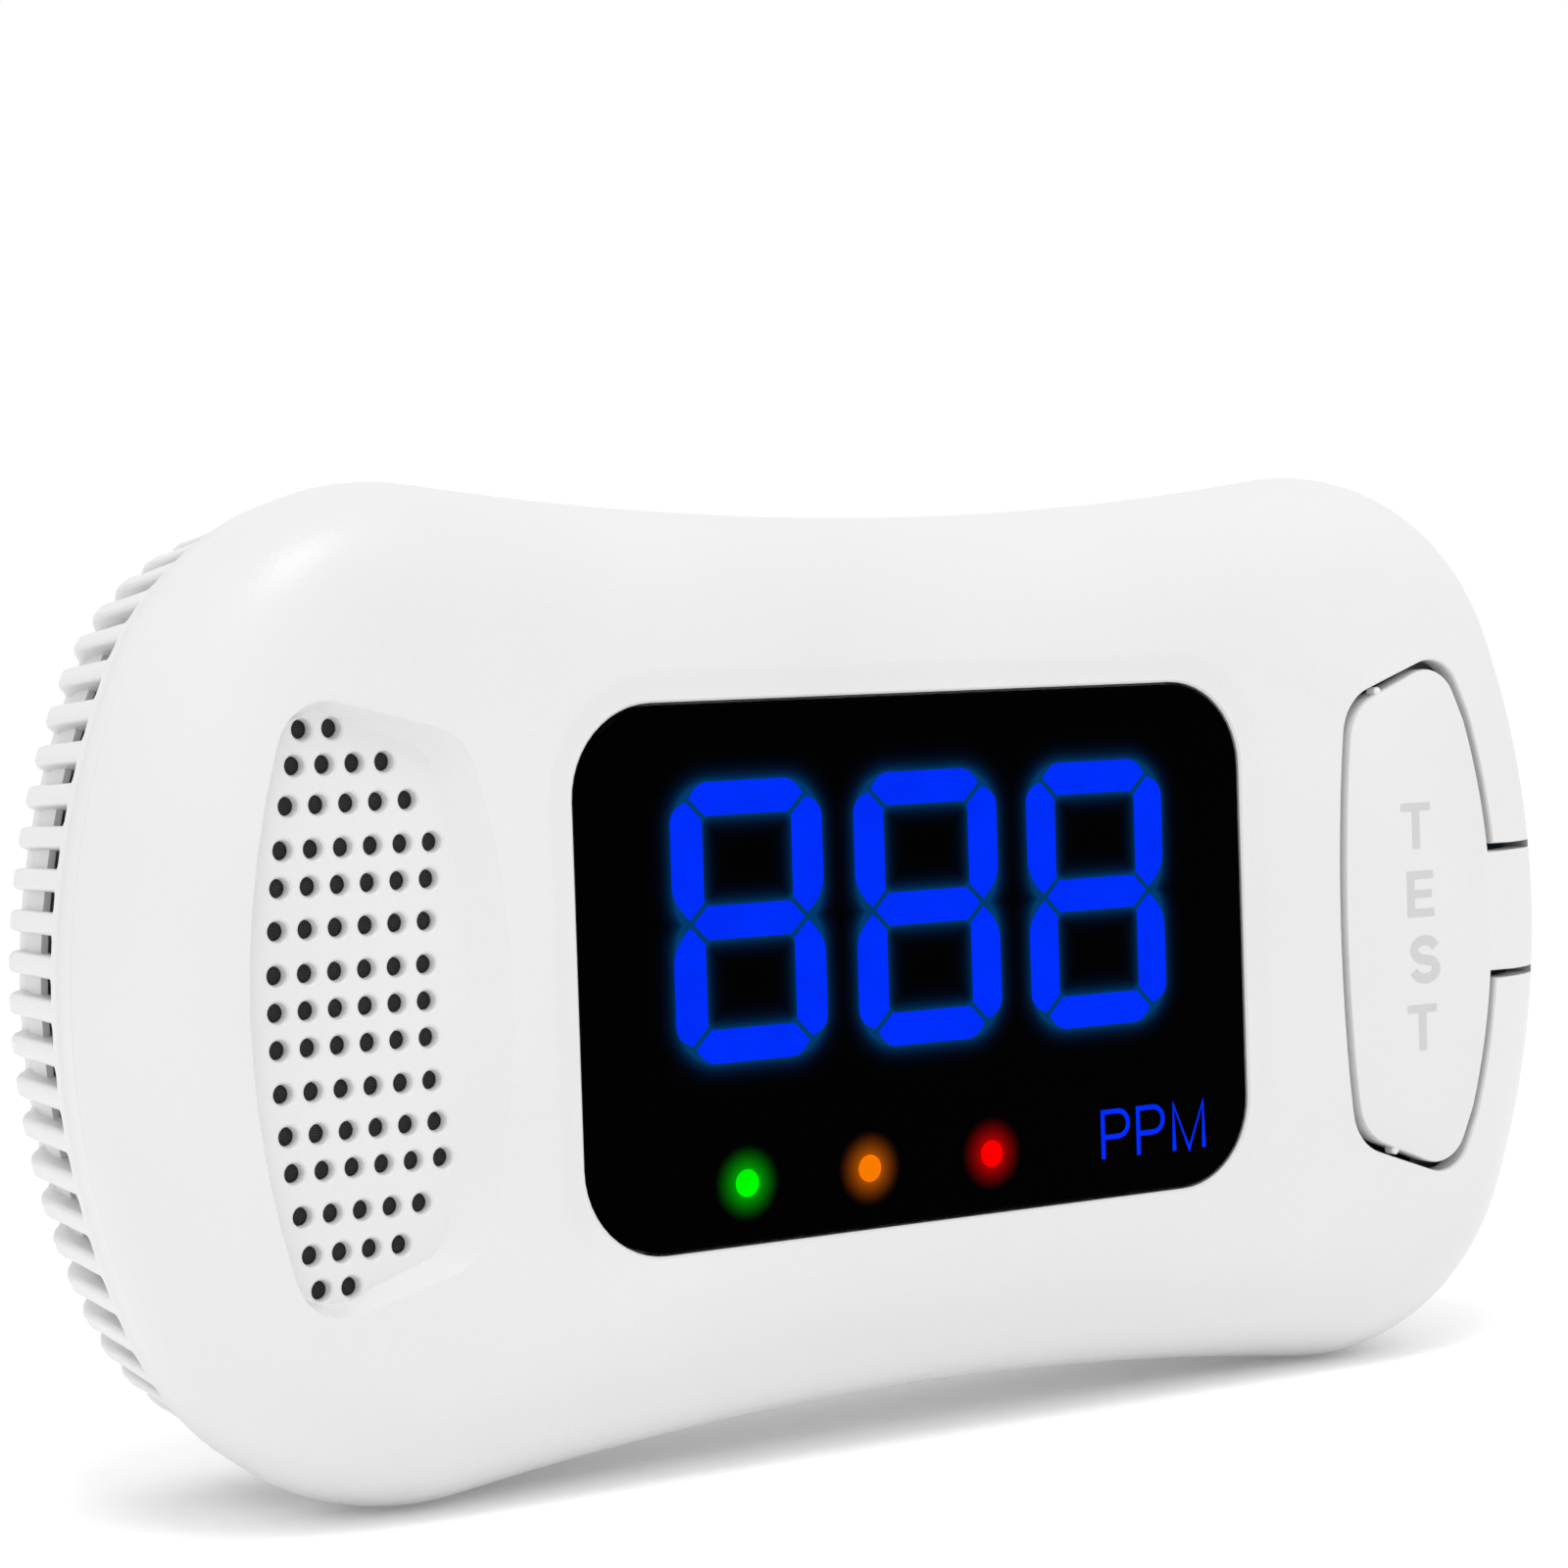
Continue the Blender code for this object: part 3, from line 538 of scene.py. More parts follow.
def spread(tree, value, low, high):
    """Maps a noise value's usual 0.3 to 0.7 onto low to high."""
    node = tree.nodes.new("ShaderNodeMapRange")
    node.inputs["From Min"].default_value = 0.3
    node.inputs["From Max"].default_value = 0.7
    node.inputs["To Min"].default_value = low
    node.inputs["To Max"].default_value = high
    tree.links.new(value, node.inputs["Value"])
    return node.outputs["Result"]


def bump(tree, shader, height, strength, distance):
    node = tree.nodes.new("ShaderNodeBump")
    node.inputs["Strength"].default_value = strength
    node.inputs["Distance"].default_value = distance
    tree.links.new(height, node.inputs["Height"])
    tree.links.new(node.outputs["Normal"], shader.inputs["Normal"])


def moulded_plastic(name, colour, roughness, shade=0.03, specks=False):
    """Moulded plastic with a fine spark-eroded grain, faint tone changes and rubbed gloss."""
    made, tree, shader = new_material(name, colour, roughness)
    points = object_points(tree)
    tone = noise(tree, 28.0, 3.0, points)
    dark = tuple(c * (1 - shade) for c in colour)
    light = tuple(min(c * (1 + shade / 2), 1.0) for c in colour)
    shown = ramp(tree, tone, [(0.3, dark), (0.7, light)])
    if specks:
        dots = tree.nodes.new("ShaderNodeTexVoronoi")
        dots.inputs["Scale"].default_value = 95.0
        tree.links.new(points, dots.inputs["Vector"])
        near = Maths(tree, dots.outputs["Distance"]).call("LESS_THAN", 0.022)
        picked = tree.nodes.new("ShaderNodeSeparateColor")
        tree.links.new(dots.outputs["Color"], picked.inputs["Color"])
        chosen = near * Maths(tree, picked.outputs["Red"]).call("GREATER_THAN", 0.9) * 0.55
        mix = tree.nodes.new("ShaderNodeMix")
        mix.data_type = "RGBA"
        tree.links.new(chosen.socket, mix.inputs["Factor"])
        tree.links.new(shown, mix.inputs["A"])
        mix.inputs["B"].default_value = (0.16, 0.15, 0.14, 1.0)
        shown = mix.outputs["Result"]
    tree.links.new(shown, shader.inputs["Base Color"])
    gloss = spread(tree, noise(tree, 60.0, 4.0, points), roughness - 0.05, roughness + 0.06)
    tree.links.new(gloss, shader.inputs["Roughness"])
    bump(tree, shader, noise(tree, 1900.0, 3.0, points), 0.35, 0.0001)
    return made


def metal(name, colour, roughness):
    """Plated or brushed metal: fine drawn lines, and stains that vary its gloss."""
    made, tree, shader = new_material(name, colour, roughness, 1.0)
    points = object_points(tree)
    stain = noise(tree, 160.0, 4.0, points)
    dark = tuple(c * 0.82 for c in colour)
    tree.links.new(ramp(tree, stain, [(0.3, dark), (0.65, colour)]), shader.inputs["Base Color"])
    gloss = spread(tree, noise(tree, 240.0, 3.0, points), roughness - 0.08, roughness + 0.1)
    tree.links.new(gloss, shader.inputs["Roughness"])
    bump(tree, shader, noise(tree, 900.0, 2.0, points, (1.0, 1.0, 12.0)), 0.25, 0.00002)
    return made


def figure_distance(across, up):
    """Distance outside a figure's two loops, from shader numbers for the point's place."""
    half_x, half_z = DIGIT_HALF
    reach_x, reach_z = half_x - UPRIGHT / 2, (half_z - LEVEL / 2) / 2
    qx = abs(across) - (reach_x - GLOW_CORNER)
    qz = abs(abs(up) - reach_z) - (reach_z - GLOW_CORNER)
    outside_x, outside_z = qx.call("MAXIMUM", 0.0), qz.call("MAXIMUM", 0.0)
    corner = (outside_x * outside_x + outside_z * outside_z).call("SQRT")
    edge = corner + qx.call("MAXIMUM", qz).call("MINIMUM", 0.0) - GLOW_CORNER
    return (abs(edge) - LEVEL / 2).call("MAXIMUM", 0.0)


def smoked_window():
    """Black smoked acrylic, with the soft light that spreads in it round each lit mark."""
    made, tree, shader = new_material("smoked_window", (0.0002, 0.0002, 0.0003), 0.09)
    shader.inputs["Specular IOR Level"].default_value = 0.004
    points = object_points(tree)
    split = tree.nodes.new("ShaderNodeSeparateXYZ")
    tree.links.new(points, split.inputs["Vector"])
    x = Maths(tree, split.outputs["X"]) * (1 / MM)
    z = Maths(tree, split.outputs["Z"]) * (1 / MM) + MOUNT_HEIGHT
    first, last = DIGIT_X[0], DIGIT_X[-1]
    nearest = (x - first) * (1 / DIGIT_PITCH)
    nearest = nearest.call("ROUND").call("MAXIMUM", 0.0)
    nearest = nearest.call("MINIMUM", (last - first) / DIGIT_PITCH)
    apart = figure_distance(x - (nearest * DIGIT_PITCH + first), z - DIGIT_Z)
    blue = (apart * GLOW_FALL).call("EXPONENT")
    glows = [(blue, (0.0, 0.042, 0.156))]
    colours = {"green": (0.0, 0.3, 0.0), "amber": (0.35, 0.07, 0.0), "red": (0.36, 0.0, 0.0)}
    for lamp, lamp_x in LAMPS.items():
        dx, dz = x - lamp_x, z - LAMP_Z
        ring = ((dx * dx + dz * dz).call("SQRT") - LAMP_RADIUS).call("MAXIMUM", 0.0)
        fade = (ring * LAMP_FALL + 1.0).call("MAXIMUM", 0.0)
        glows.append((fade * fade, colours[lamp]))
    total = None
    for strength, colour in glows:
        scaled = tree.nodes.new("ShaderNodeVectorMath")
        scaled.operation = "SCALE"
        scaled.inputs["Vector"].default_value = colour
        tree.links.new(strength.socket, scaled.inputs["Scale"])
        if total is None:
            total = scaled.outputs["Vector"]
            continue
        added = tree.nodes.new("ShaderNodeVectorMath")
        tree.links.new(total, added.inputs[0])
        tree.links.new(scaled.outputs["Vector"], added.inputs[1])
        total = added.outputs["Vector"]
    tree.links.new(total, shader.inputs["Emission Color"])
    shader.inputs["Emission Strength"].default_value = 1.0
    gloss = spread(tree, noise(tree, 70.0, 5.0, points), 0.07, 0.13)
    tree.links.new(gloss, shader.inputs["Roughness"])
    return made


def lit(name, colour, strength=1.0):
    """A lit mark: an even glow, a little dimmer in faint patches."""
    made, tree, shader = new_material(name, (0.0, 0.0, 0.0), 0.25)
    shader.inputs["Specular IOR Level"].default_value = 0.0
    dim = tuple(c * 0.9 for c in colour)
    glow = ramp(tree, noise(tree, 300.0, 2.0), [(0.25, dim), (0.6, colour)])
    tree.links.new(glow, shader.inputs["Emission Color"])
    shader.inputs["Emission Strength"].default_value = strength
    return made


def woven(name, colour, threads=1500.0):
    """A fine mesh cloth: crossed threads with dark gaps."""
    made, tree, shader = new_material(name, colour, 0.9)
    points = object_points(tree)
    waves = []
    for axis in ("X", "Z"):
        wave = tree.nodes.new("ShaderNodeTexWave")
        wave.bands_direction = axis
        wave.inputs["Scale"].default_value = threads
        wave.inputs["Distortion"].default_value = 0.6
        tree.links.new(points, wave.inputs["Vector"])
        waves.append(Maths(tree, wave.outputs["Fac"]))
    weave = waves[0].call("MAXIMUM", waves[1]).socket
    dark = tuple(c * 0.2 for c in colour)
    tree.links.new(ramp(tree, weave, [(0.35, dark), (0.8, colour)]), shader.inputs["Base Color"])
    bump(tree, shader, weave, 0.6, 0.00008)
    return made


def circuit_board():
    """Green solder mask over a faint lattice of tracks, with a little gloss."""
    made, tree, shader = new_material("board_green", (0.01, 0.13, 0.05), 0.35)
    points = object_points(tree)
    lattice = tree.nodes.new("ShaderNodeTexBrick")
    lattice.inputs["Scale"].default_value = 240.0
    lattice.inputs["Mortar Size"].default_value = 0.02
    lattice.inputs["Color1"].default_value = (0.005, 0.085, 0.03, 1.0)
    lattice.inputs["Color2"].default_value = (0.006, 0.092, 0.033, 1.0)
    lattice.inputs["Mortar"].default_value = (0.009, 0.12, 0.045, 1.0)
    turn = tree.nodes.new("ShaderNodeMapping")
    turn.inputs["Rotation"].default_value = (math.pi / 2, 0.0, 0.0)
    tree.links.new(points, turn.inputs["Vector"])
    tree.links.new(turn.outputs["Vector"], lattice.inputs["Vector"])
    tree.links.new(lattice.outputs["Color"], shader.inputs["Base Color"])
    tree.links.new(spread(tree, noise(tree, 90.0), 0.28, 0.45), shader.inputs["Roughness"])
    bump(tree, shader, lattice.outputs["Fac"], 0.4, 0.00004)
    return made


def cell_jacket(name, flat_x, raised_x):
    """A dark printed sleeve, a copper-coloured band at the raised end and bare metal ends."""
    made, tree, shader = new_material(name, (0.02, 0.022, 0.026), 0.3)
    points = object_points(tree)
    split = tree.nodes.new("ShaderNodeSeparateXYZ")
    tree.links.new(points, split.inputs["Vector"])
    along = ((Maths(tree, split.outputs["X"]) - flat_x) * (1 / (raised_x - flat_x))).socket
    steel, copper = (0.6, 0.6, 0.58), (0.62, 0.27, 0.1)
    bands = (
        ("Base Color", (steel, (0.018, 0.02, 0.024), copper, steel)),
        ("Metallic", ((1.0,) * 3, (0.0,) * 3, (0.65,) * 3, (1.0,) * 3)),
    )
    for socket, values in bands:
        colour = ramp(tree, along, list(zip((0.0, 0.008, 0.7, 0.965), values)))
        colour.node.color_ramp.interpolation = "CONSTANT"
        tree.links.new(colour, shader.inputs[socket])
    tree.links.new(spread(tree, noise(tree, 200.0, 2.0, points), 0.2, 0.36), shader.inputs["Roughness"])
    shader.inputs["Coat Weight"].default_value = 0.4
    bump(tree, shader, noise(tree, 500.0, 2.0, points), 0.1, 0.00002)
    return made


# ---- Front half ----


def front_shell():
    """The front half's shell, open at the seam."""
    outer = [(0.12, SEAM), (0.0, SEAM - 0.15)] + dome(0.0, FRONT_RUN, FRONT_RISE, -FRONT_RISE, 18)
    inner = [(WALL, SEAM)] + dome(WALL, FRONT_RUN - 1.0, FRONT_RISE, WALL - FRONT_RISE, 8)
    return case_loft(outer[::-1] + inner)


def grille_holes():
    """The holes' centres, in rows that follow a wide arc down the grille's left side."""
    centres = []
    for height, count in HOLE_ROWS:
        first = HOLE_FIRST_X + HOLE_ARC - math.sqrt(HOLE_ARC**2 - height**2)
        for sign in (1, -1) if height else (1,):
            centres += [(first + column * HOLE_PITCH, sign * height) for column in range(count)]
    return centres


def grille_tray():
    """The recess, with a narrow rounded rim and a small chamfer round its floor."""
    layers = []
    for grow, y in ((0.5, -0.3), (0.16, 0.0), (0.04, 0.03), (-0.06, 0.11)):
        layers.append((grille_outline(GRILLE_RIM, grow, GRILLE_RIM_CORNERS), y))
    for grow, y in ((0.1, GRILLE_DEPTH - 0.07), (0.0, GRILLE_DEPTH)):
        layers.append((grille_outline(GRILLE_FLOOR, grow, GRILLE_FLOOR_CORNERS), y))
    return stack(layers)


def window_cut():
    """The window's opening, with the wide soft bevel that leads down to it."""
    slope = [(3.4, -0.2), (2.7, 0.0), (2.35, 0.05), (1.9, 0.17)]
    slope += [(1.0, 0.42), (0.55, 0.52), (0.2, 0.57), (0.0, 0.75)]
    return stack([(window_outline(grow), y) for grow, y in slope] + [(window_outline(), SEAT)])


def pillars(centres, radius, depths, sides=32):
    """Round posts or bores along y, one at each centre."""
    return [turned(centre, [(radius, y) for y in depths], sides) for centre in centres]


def slot_side(side, root):
    """A solid out to the button slot's cover side, with side 1, or to its button side, with side -1."""
    return stack([(button_outline(side * half, root), y) for half, y in SLOT_PROFILE])


def front_cover(look):
    cover = place("cover_shell", front_shell())
    post_depths = (POST_FRONT, BOARD_FRONT - GAP)
    posts = pillars(BOSSES, BOSS_RADIUS, post_depths)
    posts += pillars(BOARD_POSTS, BOARD_POST_RADIUS, post_depths)
    pilots = pillars(BOSSES, BOSS_PILOT, PILOT_DEPTHS, 16)
    pilots += pillars(BOARD_POSTS, BOARD_PILOT, PILOT_DEPTHS, 16)
    hole = [(radius, GRILLE_DEPTH + y) for radius, y in HOLE_PROFILE]
    hole.append((HOLE_END_RADIUS, GRILLE_BACK + 0.5))
    carve(cover, [
        ("UNION", prism(grille_outline(GRILLE_RIM, 0.8), 1.5, GRILLE_BACK)),
        ("UNION", prism(window_outline(1.6), 1.5, SEAT_BACK)),
        ("UNION", together(posts)),
        ("DIFFERENCE", grille_tray()),
        ("DIFFERENCE", window_cut()),
        ("DIFFERENCE", prism(window_outline(-SEAT_WIDTH), SEAT - 1, SEAT_BACK + 1)),
        ("DIFFERENCE", slot_side(1, SLOT_ROOT)),
        ("DIFFERENCE", together(pilots)),
        ("DIFFERENCE", together([turned(centre, hole, 20) for centre in grille_holes()])),
    ])
    piece(cover, "case", look, ["front_cover"], angle=18)


def dust_screen(look):
    """The cloth stretched across the back of the grille."""
    outline = grille_outline(GRILLE_RIM, -1.2, DUST_CORNERS)
    screen = place("dust_cloth", prism(outline, GRILLE_BACK + 0.12, GRILLE_BACK + 0.4))
    piece(screen, "case", look, ["dust_screen"])


def nub(centre):
    """What is left of a moulding gate: a small pip across the slot, not quite touching the cover."""
    return turned(centre, [(0.42, 1.2), (0.42, 0.25), (0.3, 0.1), (0.12, 0.04)], 12)


def test_button(look, print_look):
    button = place("button_tongue", front_shell())
    post = [(2.0, POST_FRONT), (2.0, POST_END - 0.3), (1.7, POST_END)]
    carve(button, [
        ("INTERSECT", slot_side(-1, TONGUE_END)),
        ("UNION", turned(POST, post)),
        ("UNION", together([nub(centre) for centre in NUBS])),
    ])
    smooth(button)
    button.data.materials.append(look)
    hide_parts("test_button")
    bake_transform(button)
    button_word(print_look)


# ---- Letters and lit marks, as flat strokes ----


def ribbon(path, width):
    """The outline of a stroke of a given width along a path, with mitred corners."""
    left, right = [], []
    for index, point in enumerate(path):
        here = Vector(point)
        before = (here - Vector(path[index - 1])).normalized() if index else None
        after = (Vector(path[index + 1]) - here).normalized() if index + 1 < len(path) else None
        along = ((before or after) + (after or before)).normalized()
        side = Vector((-along.y, along.x))
        stretch = 1.0
        if before and after:
            stretch = 1 / max(side.dot(Vector((-after.y, after.x))), 0.72)
        left.append(tuple(here + side * width / 2 * stretch))
        right.append(tuple(here - side * width / 2 * stretch))
    return right + left[::-1]


def at(points, x, z):
    return [(x + px, z + pz) for px, pz in points]


def letter_t(width, height, stroke):
    half, stem = width / 2, stroke / 2
    under = height - ARM_SHARE * stroke
    top = [(stem, under), (half, under), (half, height), (-half, height), (-half, under), (-stem, under)]
    return [(-stem, 0.0), (stem, 0.0)] + top


def letter_e(width, height, stroke):
    half, middle, arm = width / 2, height / 2, ARM_SHARE * stroke
    inside = stroke - half
    return [
        (-half, 0.0), (half, 0.0), (half, arm), (inside, arm),
        (inside, middle - arm / 2), (half - 0.25, middle - arm / 2),
        (half - 0.25, middle + arm / 2), (inside, middle + arm / 2),
        (inside, height - arm), (half - 0.05, height - arm), (half - 0.05, height), (-half, height),
    ]


def letter_s(width, height, stroke):
    """An S from two bowls that meet on a slanting spine."""
    rx, rz = (width - stroke) / 2, (height - stroke) / 4
    top, low = height - stroke / 2 - rz, stroke / 2 + rz
    path = []
    for step in range(13):
        a = math.radians(15 + 235 * step / 12)
        path.append((rx * math.cos(a) * 0.96, top + rz * math.sin(a)))
    for step in range(1, 14):
        a = math.radians(70 - 240 * step / 13)
        path.append((rx * math.cos(a), low + rz * math.sin(a)))
    return ribbon(path, stroke)


def letter_p(width, height, stroke):
    radius = height * 0.27
    bowl = [(width - radius + radius * math.cos(a), height - radius + radius * math.sin(a))
            for a in (math.radians(90 - 180 * step / 10) for step in range(11))]
    return ribbon([(0.0, 0.0), (0.0, height)] + bowl + [(stroke / 2, height - 2 * radius)], stroke)


def letter_m(width, height, stroke):
    return ribbon([(0.0, 0.0), (0.0, height), (width / 2, 0.0), (width, height), (width, 0.0)], stroke)


def button_word(look):
    """TEST down the button, one letter under another, as a thin print."""
    letters = [
        at(letter_t(3.5, 4.1, WORD_STROKE), 53.0, 6.2),
        at(letter_e(3.2, 4.1, WORD_STROKE), 53.35, 0.05),
        at(letter_s(3.6, 4.35, WORD_STROKE), 53.7, -6.0),
        at(letter_t(3.5, 4.1, WORD_STROKE), 53.2, -12.0),
    ]
    word = place("button_word", together([prism(outline, -WORD_PROUD, 0.05) for outline in letters]))
    piece(word, "test_button", look)


def upright_bar(side, upper):
    """One upright bar of a figure, mitred against its neighbours and rounded outside."""
    half_x, half_z = DIGIT_HALF
    inner, top = half_x - UPRIGHT, half_z - LEVEL
    high = (inner + MITRE_REACH, top + MITRE_REACH - MITRE_GAP)
    low = (inner + LEVEL / 2, MITRE_GAP)
    points = [(inner, LEVEL / 2 + MITRE_GAP), (inner, top - MITRE_GAP), high]
    points += curve(high, (half_x, top - 0.4), (half_x - 0.1, top + 0.75))
    foot = (half_x, LEVEL + 0.3)
    points += [foot] + curve(foot, low, (half_x - 0.1, LEVEL / 2 + 0.2))
    return [(side * x, z if upper else -z) for x, z in points]


def curve(start, end, bend, steps=6):
    """Points on a curve from start to end, pulled towards bend, without its first point."""
    points = []
    for step in range(1, steps + 1):
        t = step / steps
        weights = ((1 - t) ** 2, 2 * t * (1 - t), t * t)
        pulls = list(zip(weights, (start, bend, end)))
        points.append(tuple(sum(w * p[axis] for w, p in pulls) for axis in (0, 1)))
    return points


def level_bar(level):
    """A level bar of a figure: the top, middle or bottom one, for level 1, 0 or -1."""
    half_x, half_z = DIGIT_HALF
    inner = half_x - UPRIGHT - MITRE_GAP
    thick = LEVEL / 2
    if level == 0:
        tip = inner + thick
        return [(tip, 0.0), (inner, thick), (-inner, thick), (-tip, 0.0), (-inner, -thick), (inner, -thick)]
    tip = (inner + MITRE_REACH, half_z - LEVEL + MITRE_REACH)
    right = [(inner, half_z - LEVEL), tip] + curve(tip, (inner - 0.2, half_z), (inner + 0.75, half_z - 0.1))
    whole = right + [(-x, z) for x, z in reversed(right)]
    return [(x, level * z) for x, z in whole]


def lit_marks():
    """The figures, lamps and unit, each as a thin mark on the window's face."""
    front, back = LENS_FRONT - 0.03, LENS_FRONT + 0.2
    blue = lit("lit_blue", (0.0, 0.028, 1.0))
    for index, x in enumerate(DIGIT_X):
        bars = [level_bar(level) for level in (-1, 0, 1)]
        bars += [upright_bar(side, upper) for side in (-1, 1) for upper in (True, False)]
        figure = together([prism(at(bar, x, DIGIT_Z), front, back) for bar in bars])
        piece(place(f"lit_figure_{index + 1}", figure), "case", blue)
    unit = [
        at(letter_p(2.75, UNIT_HEIGHT, UNIT_STROKE), 16.6, UNIT_Z),
        at(letter_p(2.75, UNIT_HEIGHT, UNIT_STROKE), 20.45, UNIT_Z),
        at(letter_m(3.3, UNIT_HEIGHT, UNIT_STROKE), 24.4, UNIT_Z),
    ]
    piece(place("lit_unit", together([prism(o, front, back) for o in unit])), "case", blue)
    colours = {"green": (0.0, 1.0, 0.0), "amber": (1.0, 0.21, 0.0), "red": (1.0, 0.0, 0.0)}
    for lamp, x in LAMPS.items():
        profile = [(LAMP_RADIUS * 0.7, front), (LAMP_RADIUS, front + 0.01), (LAMP_RADIUS, back)]
        dot = place(f"lit_lamp_{lamp}", turned((x, LAMP_Z), profile))
        piece(dot, "case", lit(f"lit_{lamp}", colours[lamp]))


def lens(look):
    outer = window_outline(-0.22)
    edge = window_outline(-0.4)
    pane = stack([(edge, LENS_FRONT), (outer, LENS_FRONT + 0.16), (outer, LENS_BACK)])
    piece(place("window_pane", pane), "case", look, ["display_lens"])


# ---- Rear half ----


def rear_profile():
    """The back half's outer wall behind its band, as (inset, y)."""
    first = (BAND_STEP, BAND_END + 1.3)
    middle = ((BAND_STEP + REAR_INSET) / 2, (BAND_END + 1.3 + REAR_START) / 2)
    return [first, middle] + dome(REAR_INSET, REAR_RUN, REAR_START, DEPTH - REAR_START, 14)


def rear_shell():
    """The back half's shell, with the band behind the seam and the lip that goes inside the front half."""
    shoulder = SEAM + HAIRLINE
    band = [(BAND_STEP - 0.05, BAND_END + 0.9), (BAND_STEP - 0.2, BAND_END + 0.5), (0.62, BAND_END + 0.1)]
    band += [(0.45, BAND_END - 0.25), (0.15, shoulder + 0.15), (0.27, shoulder)]
    inside = LIP_INSET + LIP_WALL
    lip = [(LIP_INSET, shoulder), (LIP_INSET, LIP_FRONT), (inside, LIP_FRONT), (inside, BAND_END + 1.3)]
    inner = dome(REAR_INSET + WALL, REAR_RUN - 1.0, REAR_START, DEPTH - WALL - REAR_START, 8)
    return case_loft(rear_profile()[::-1] + band + lip + inner)


def vent_blade(distance, mirror):
    """A blade that cuts one vent, flared where it meets the surface so that the ribs are rounded.

    It cuts right through as far as VENT_OPEN and leaves a thin skin behind that.
    """
    (x, z), angle = along_end(distance)
    outward = Vector((math.cos(angle), math.sin(angle)))
    sideways = Vector((-outward.y, outward.x))
    half = VENT_WIDTH / 2
    rings = []
    for y, share in VENT_EASING + tuple((station, 1.0) for station in VENT_STATIONS):
        surface = rear_inset(VENT_FRONT + y)
        reach = VENT_INSET if y <= VENT_OPEN else min(VENT_INSET, surface + GROOVE_DEPTH)
        flared = min(share, 0.9)
        side = [(half * share, reach)]
        side += [(half * share + cut * flared, min(surface + depth, reach)) for depth, cut in RIB_ROUNDING]
        side.append((half * share + RIB_TOP[1] * flared, RIB_TOP[0]))
        ring = []
        for across, inset in side + [(-across, inset) for across, inset in side[::-1]]:
            point = Vector((x, z)) - outward * inset + sideways * across
            ring.append((-point.x if mirror else point.x, VENT_FRONT + y, point.y))
        rings.append(ring)
    return loft(rings)


def keyhole(x):
    """A round hole for a screw's head, with a narrow slot above it."""
    opening = math.asin(KEYHOLE_SLOT / KEYHOLE_HEAD_RADIUS)
    first, last = math.pi / 2 + opening, 2.5 * math.pi - opening
    head = arc((x, KEYHOLE_HEAD_Z), KEYHOLE_HEAD_RADIUS, first, last, 36)
    neck = (x + KEYHOLE_SLOT, KEYHOLE_HEAD_Z + KEYHOLE_NECK_RISE)
    slot = arc((x, MOUNT_HEIGHT - KEYHOLE_SLOT), KEYHOLE_SLOT, 0.0, math.pi, 16)
    return prism(head + [neck] + slot, DEPTH - WALL - 2, DEPTH + 1)


def rod(x, y, z, radius, sides=24):
    return turned_x((y, z), [(radius, x[0]), (radius, x[1])], sides)


def pocket():
    """The walls of the battery compartment and the rim that the door lies in."""
    low, high = POCKET_Z
    below, above = POCKET_WALL
    outer, rim, ledge = POCKET_HALF + WALL, POCKET_HALF + 1.9, DOOR_HALF + 3.5
    return [
        box((-outer, outer), (POCKET_FLOOR - 1.6, 26.0), (low - below, high + above)),
        box((-rim, rim), (20.0, NOTCH_FRONT), (low - 0.2, high + 2.8)),
        box((-ledge, ledge), (30.3, 33.2), (DOOR_LIP_Z, high + above)),
    ]


def door_cuts():
    """The compartment, the door's seat, its lip's seat, two finger notches and two hinge sockets."""
    opening = DOOR_HALF + DOOR_GAP
    below = -BEYOND - 5
    notches, sockets = [], []
    for side in (-1, 1):
        across = sorted((side * (DOOR_HALF - 1), side * SOCKET_END))
        notches.append(box(across, (NOTCH_FRONT, BEYOND), (-BEYOND, NOTCH_TOP)))
        across = sorted((side * 30.5, side * SOCKET_END))
        sockets.append(rod(across, DOOR_AXIS[1], DOOR_AXIS[2], HINGE_SOCKET))
    return [
        box((-POCKET_HALF, POCKET_HALF), (POCKET_FLOOR, BEYOND), POCKET_Z),
        box((-opening, opening), (DOOR_FRONT - DOOR_GAP, BEYOND), (below, DOOR_AXIS[2] + 1.6)),
        box((-opening, opening), (DOOR_LIP - DOOR_GAP, BEYOND), (below, DOOR_LIP_Z + DOOR_GAP)),
        together(notches),
    ], together(sockets)


def rear_housing(look):
    housing = place("housing_shell", rear_shell())
    seats, sockets = door_cuts()
    places = [(index + 0.5) * VENT_PITCH for index in range(-VENTS_PER_HALF, VENTS_PER_HALF)]
    blades = [vent_blade(distance, mirror) for distance in places for mirror in (False, True)]
    bosses = pillars(BOSSES, REAR_BOSS_RADIUS, (BOARD_BACK + GAP, DEPTH - 1.2))
    carve(
        housing,
        [("UNION", wall) for wall in pocket()]
        + [("UNION", together(bosses))]
        + [("DIFFERENCE", seat) for seat in seats]
        + [
            ("DIFFERENCE", together([turned(centre, WELL_PROFILE) for centre in BOSSES])),
            ("DIFFERENCE", together(pillars(BOSSES, SHANK_HOLE, (10.0, 28.0), 16))),
            ("DIFFERENCE", sockets),
            ("DIFFERENCE", together([keyhole(-KEYHOLE_X), keyhole(KEYHOLE_X)])),
            ("DIFFERENCE", together(blades)),
        ],
    )
    piece(housing, "case", look, ["rear_housing"], angle=38)


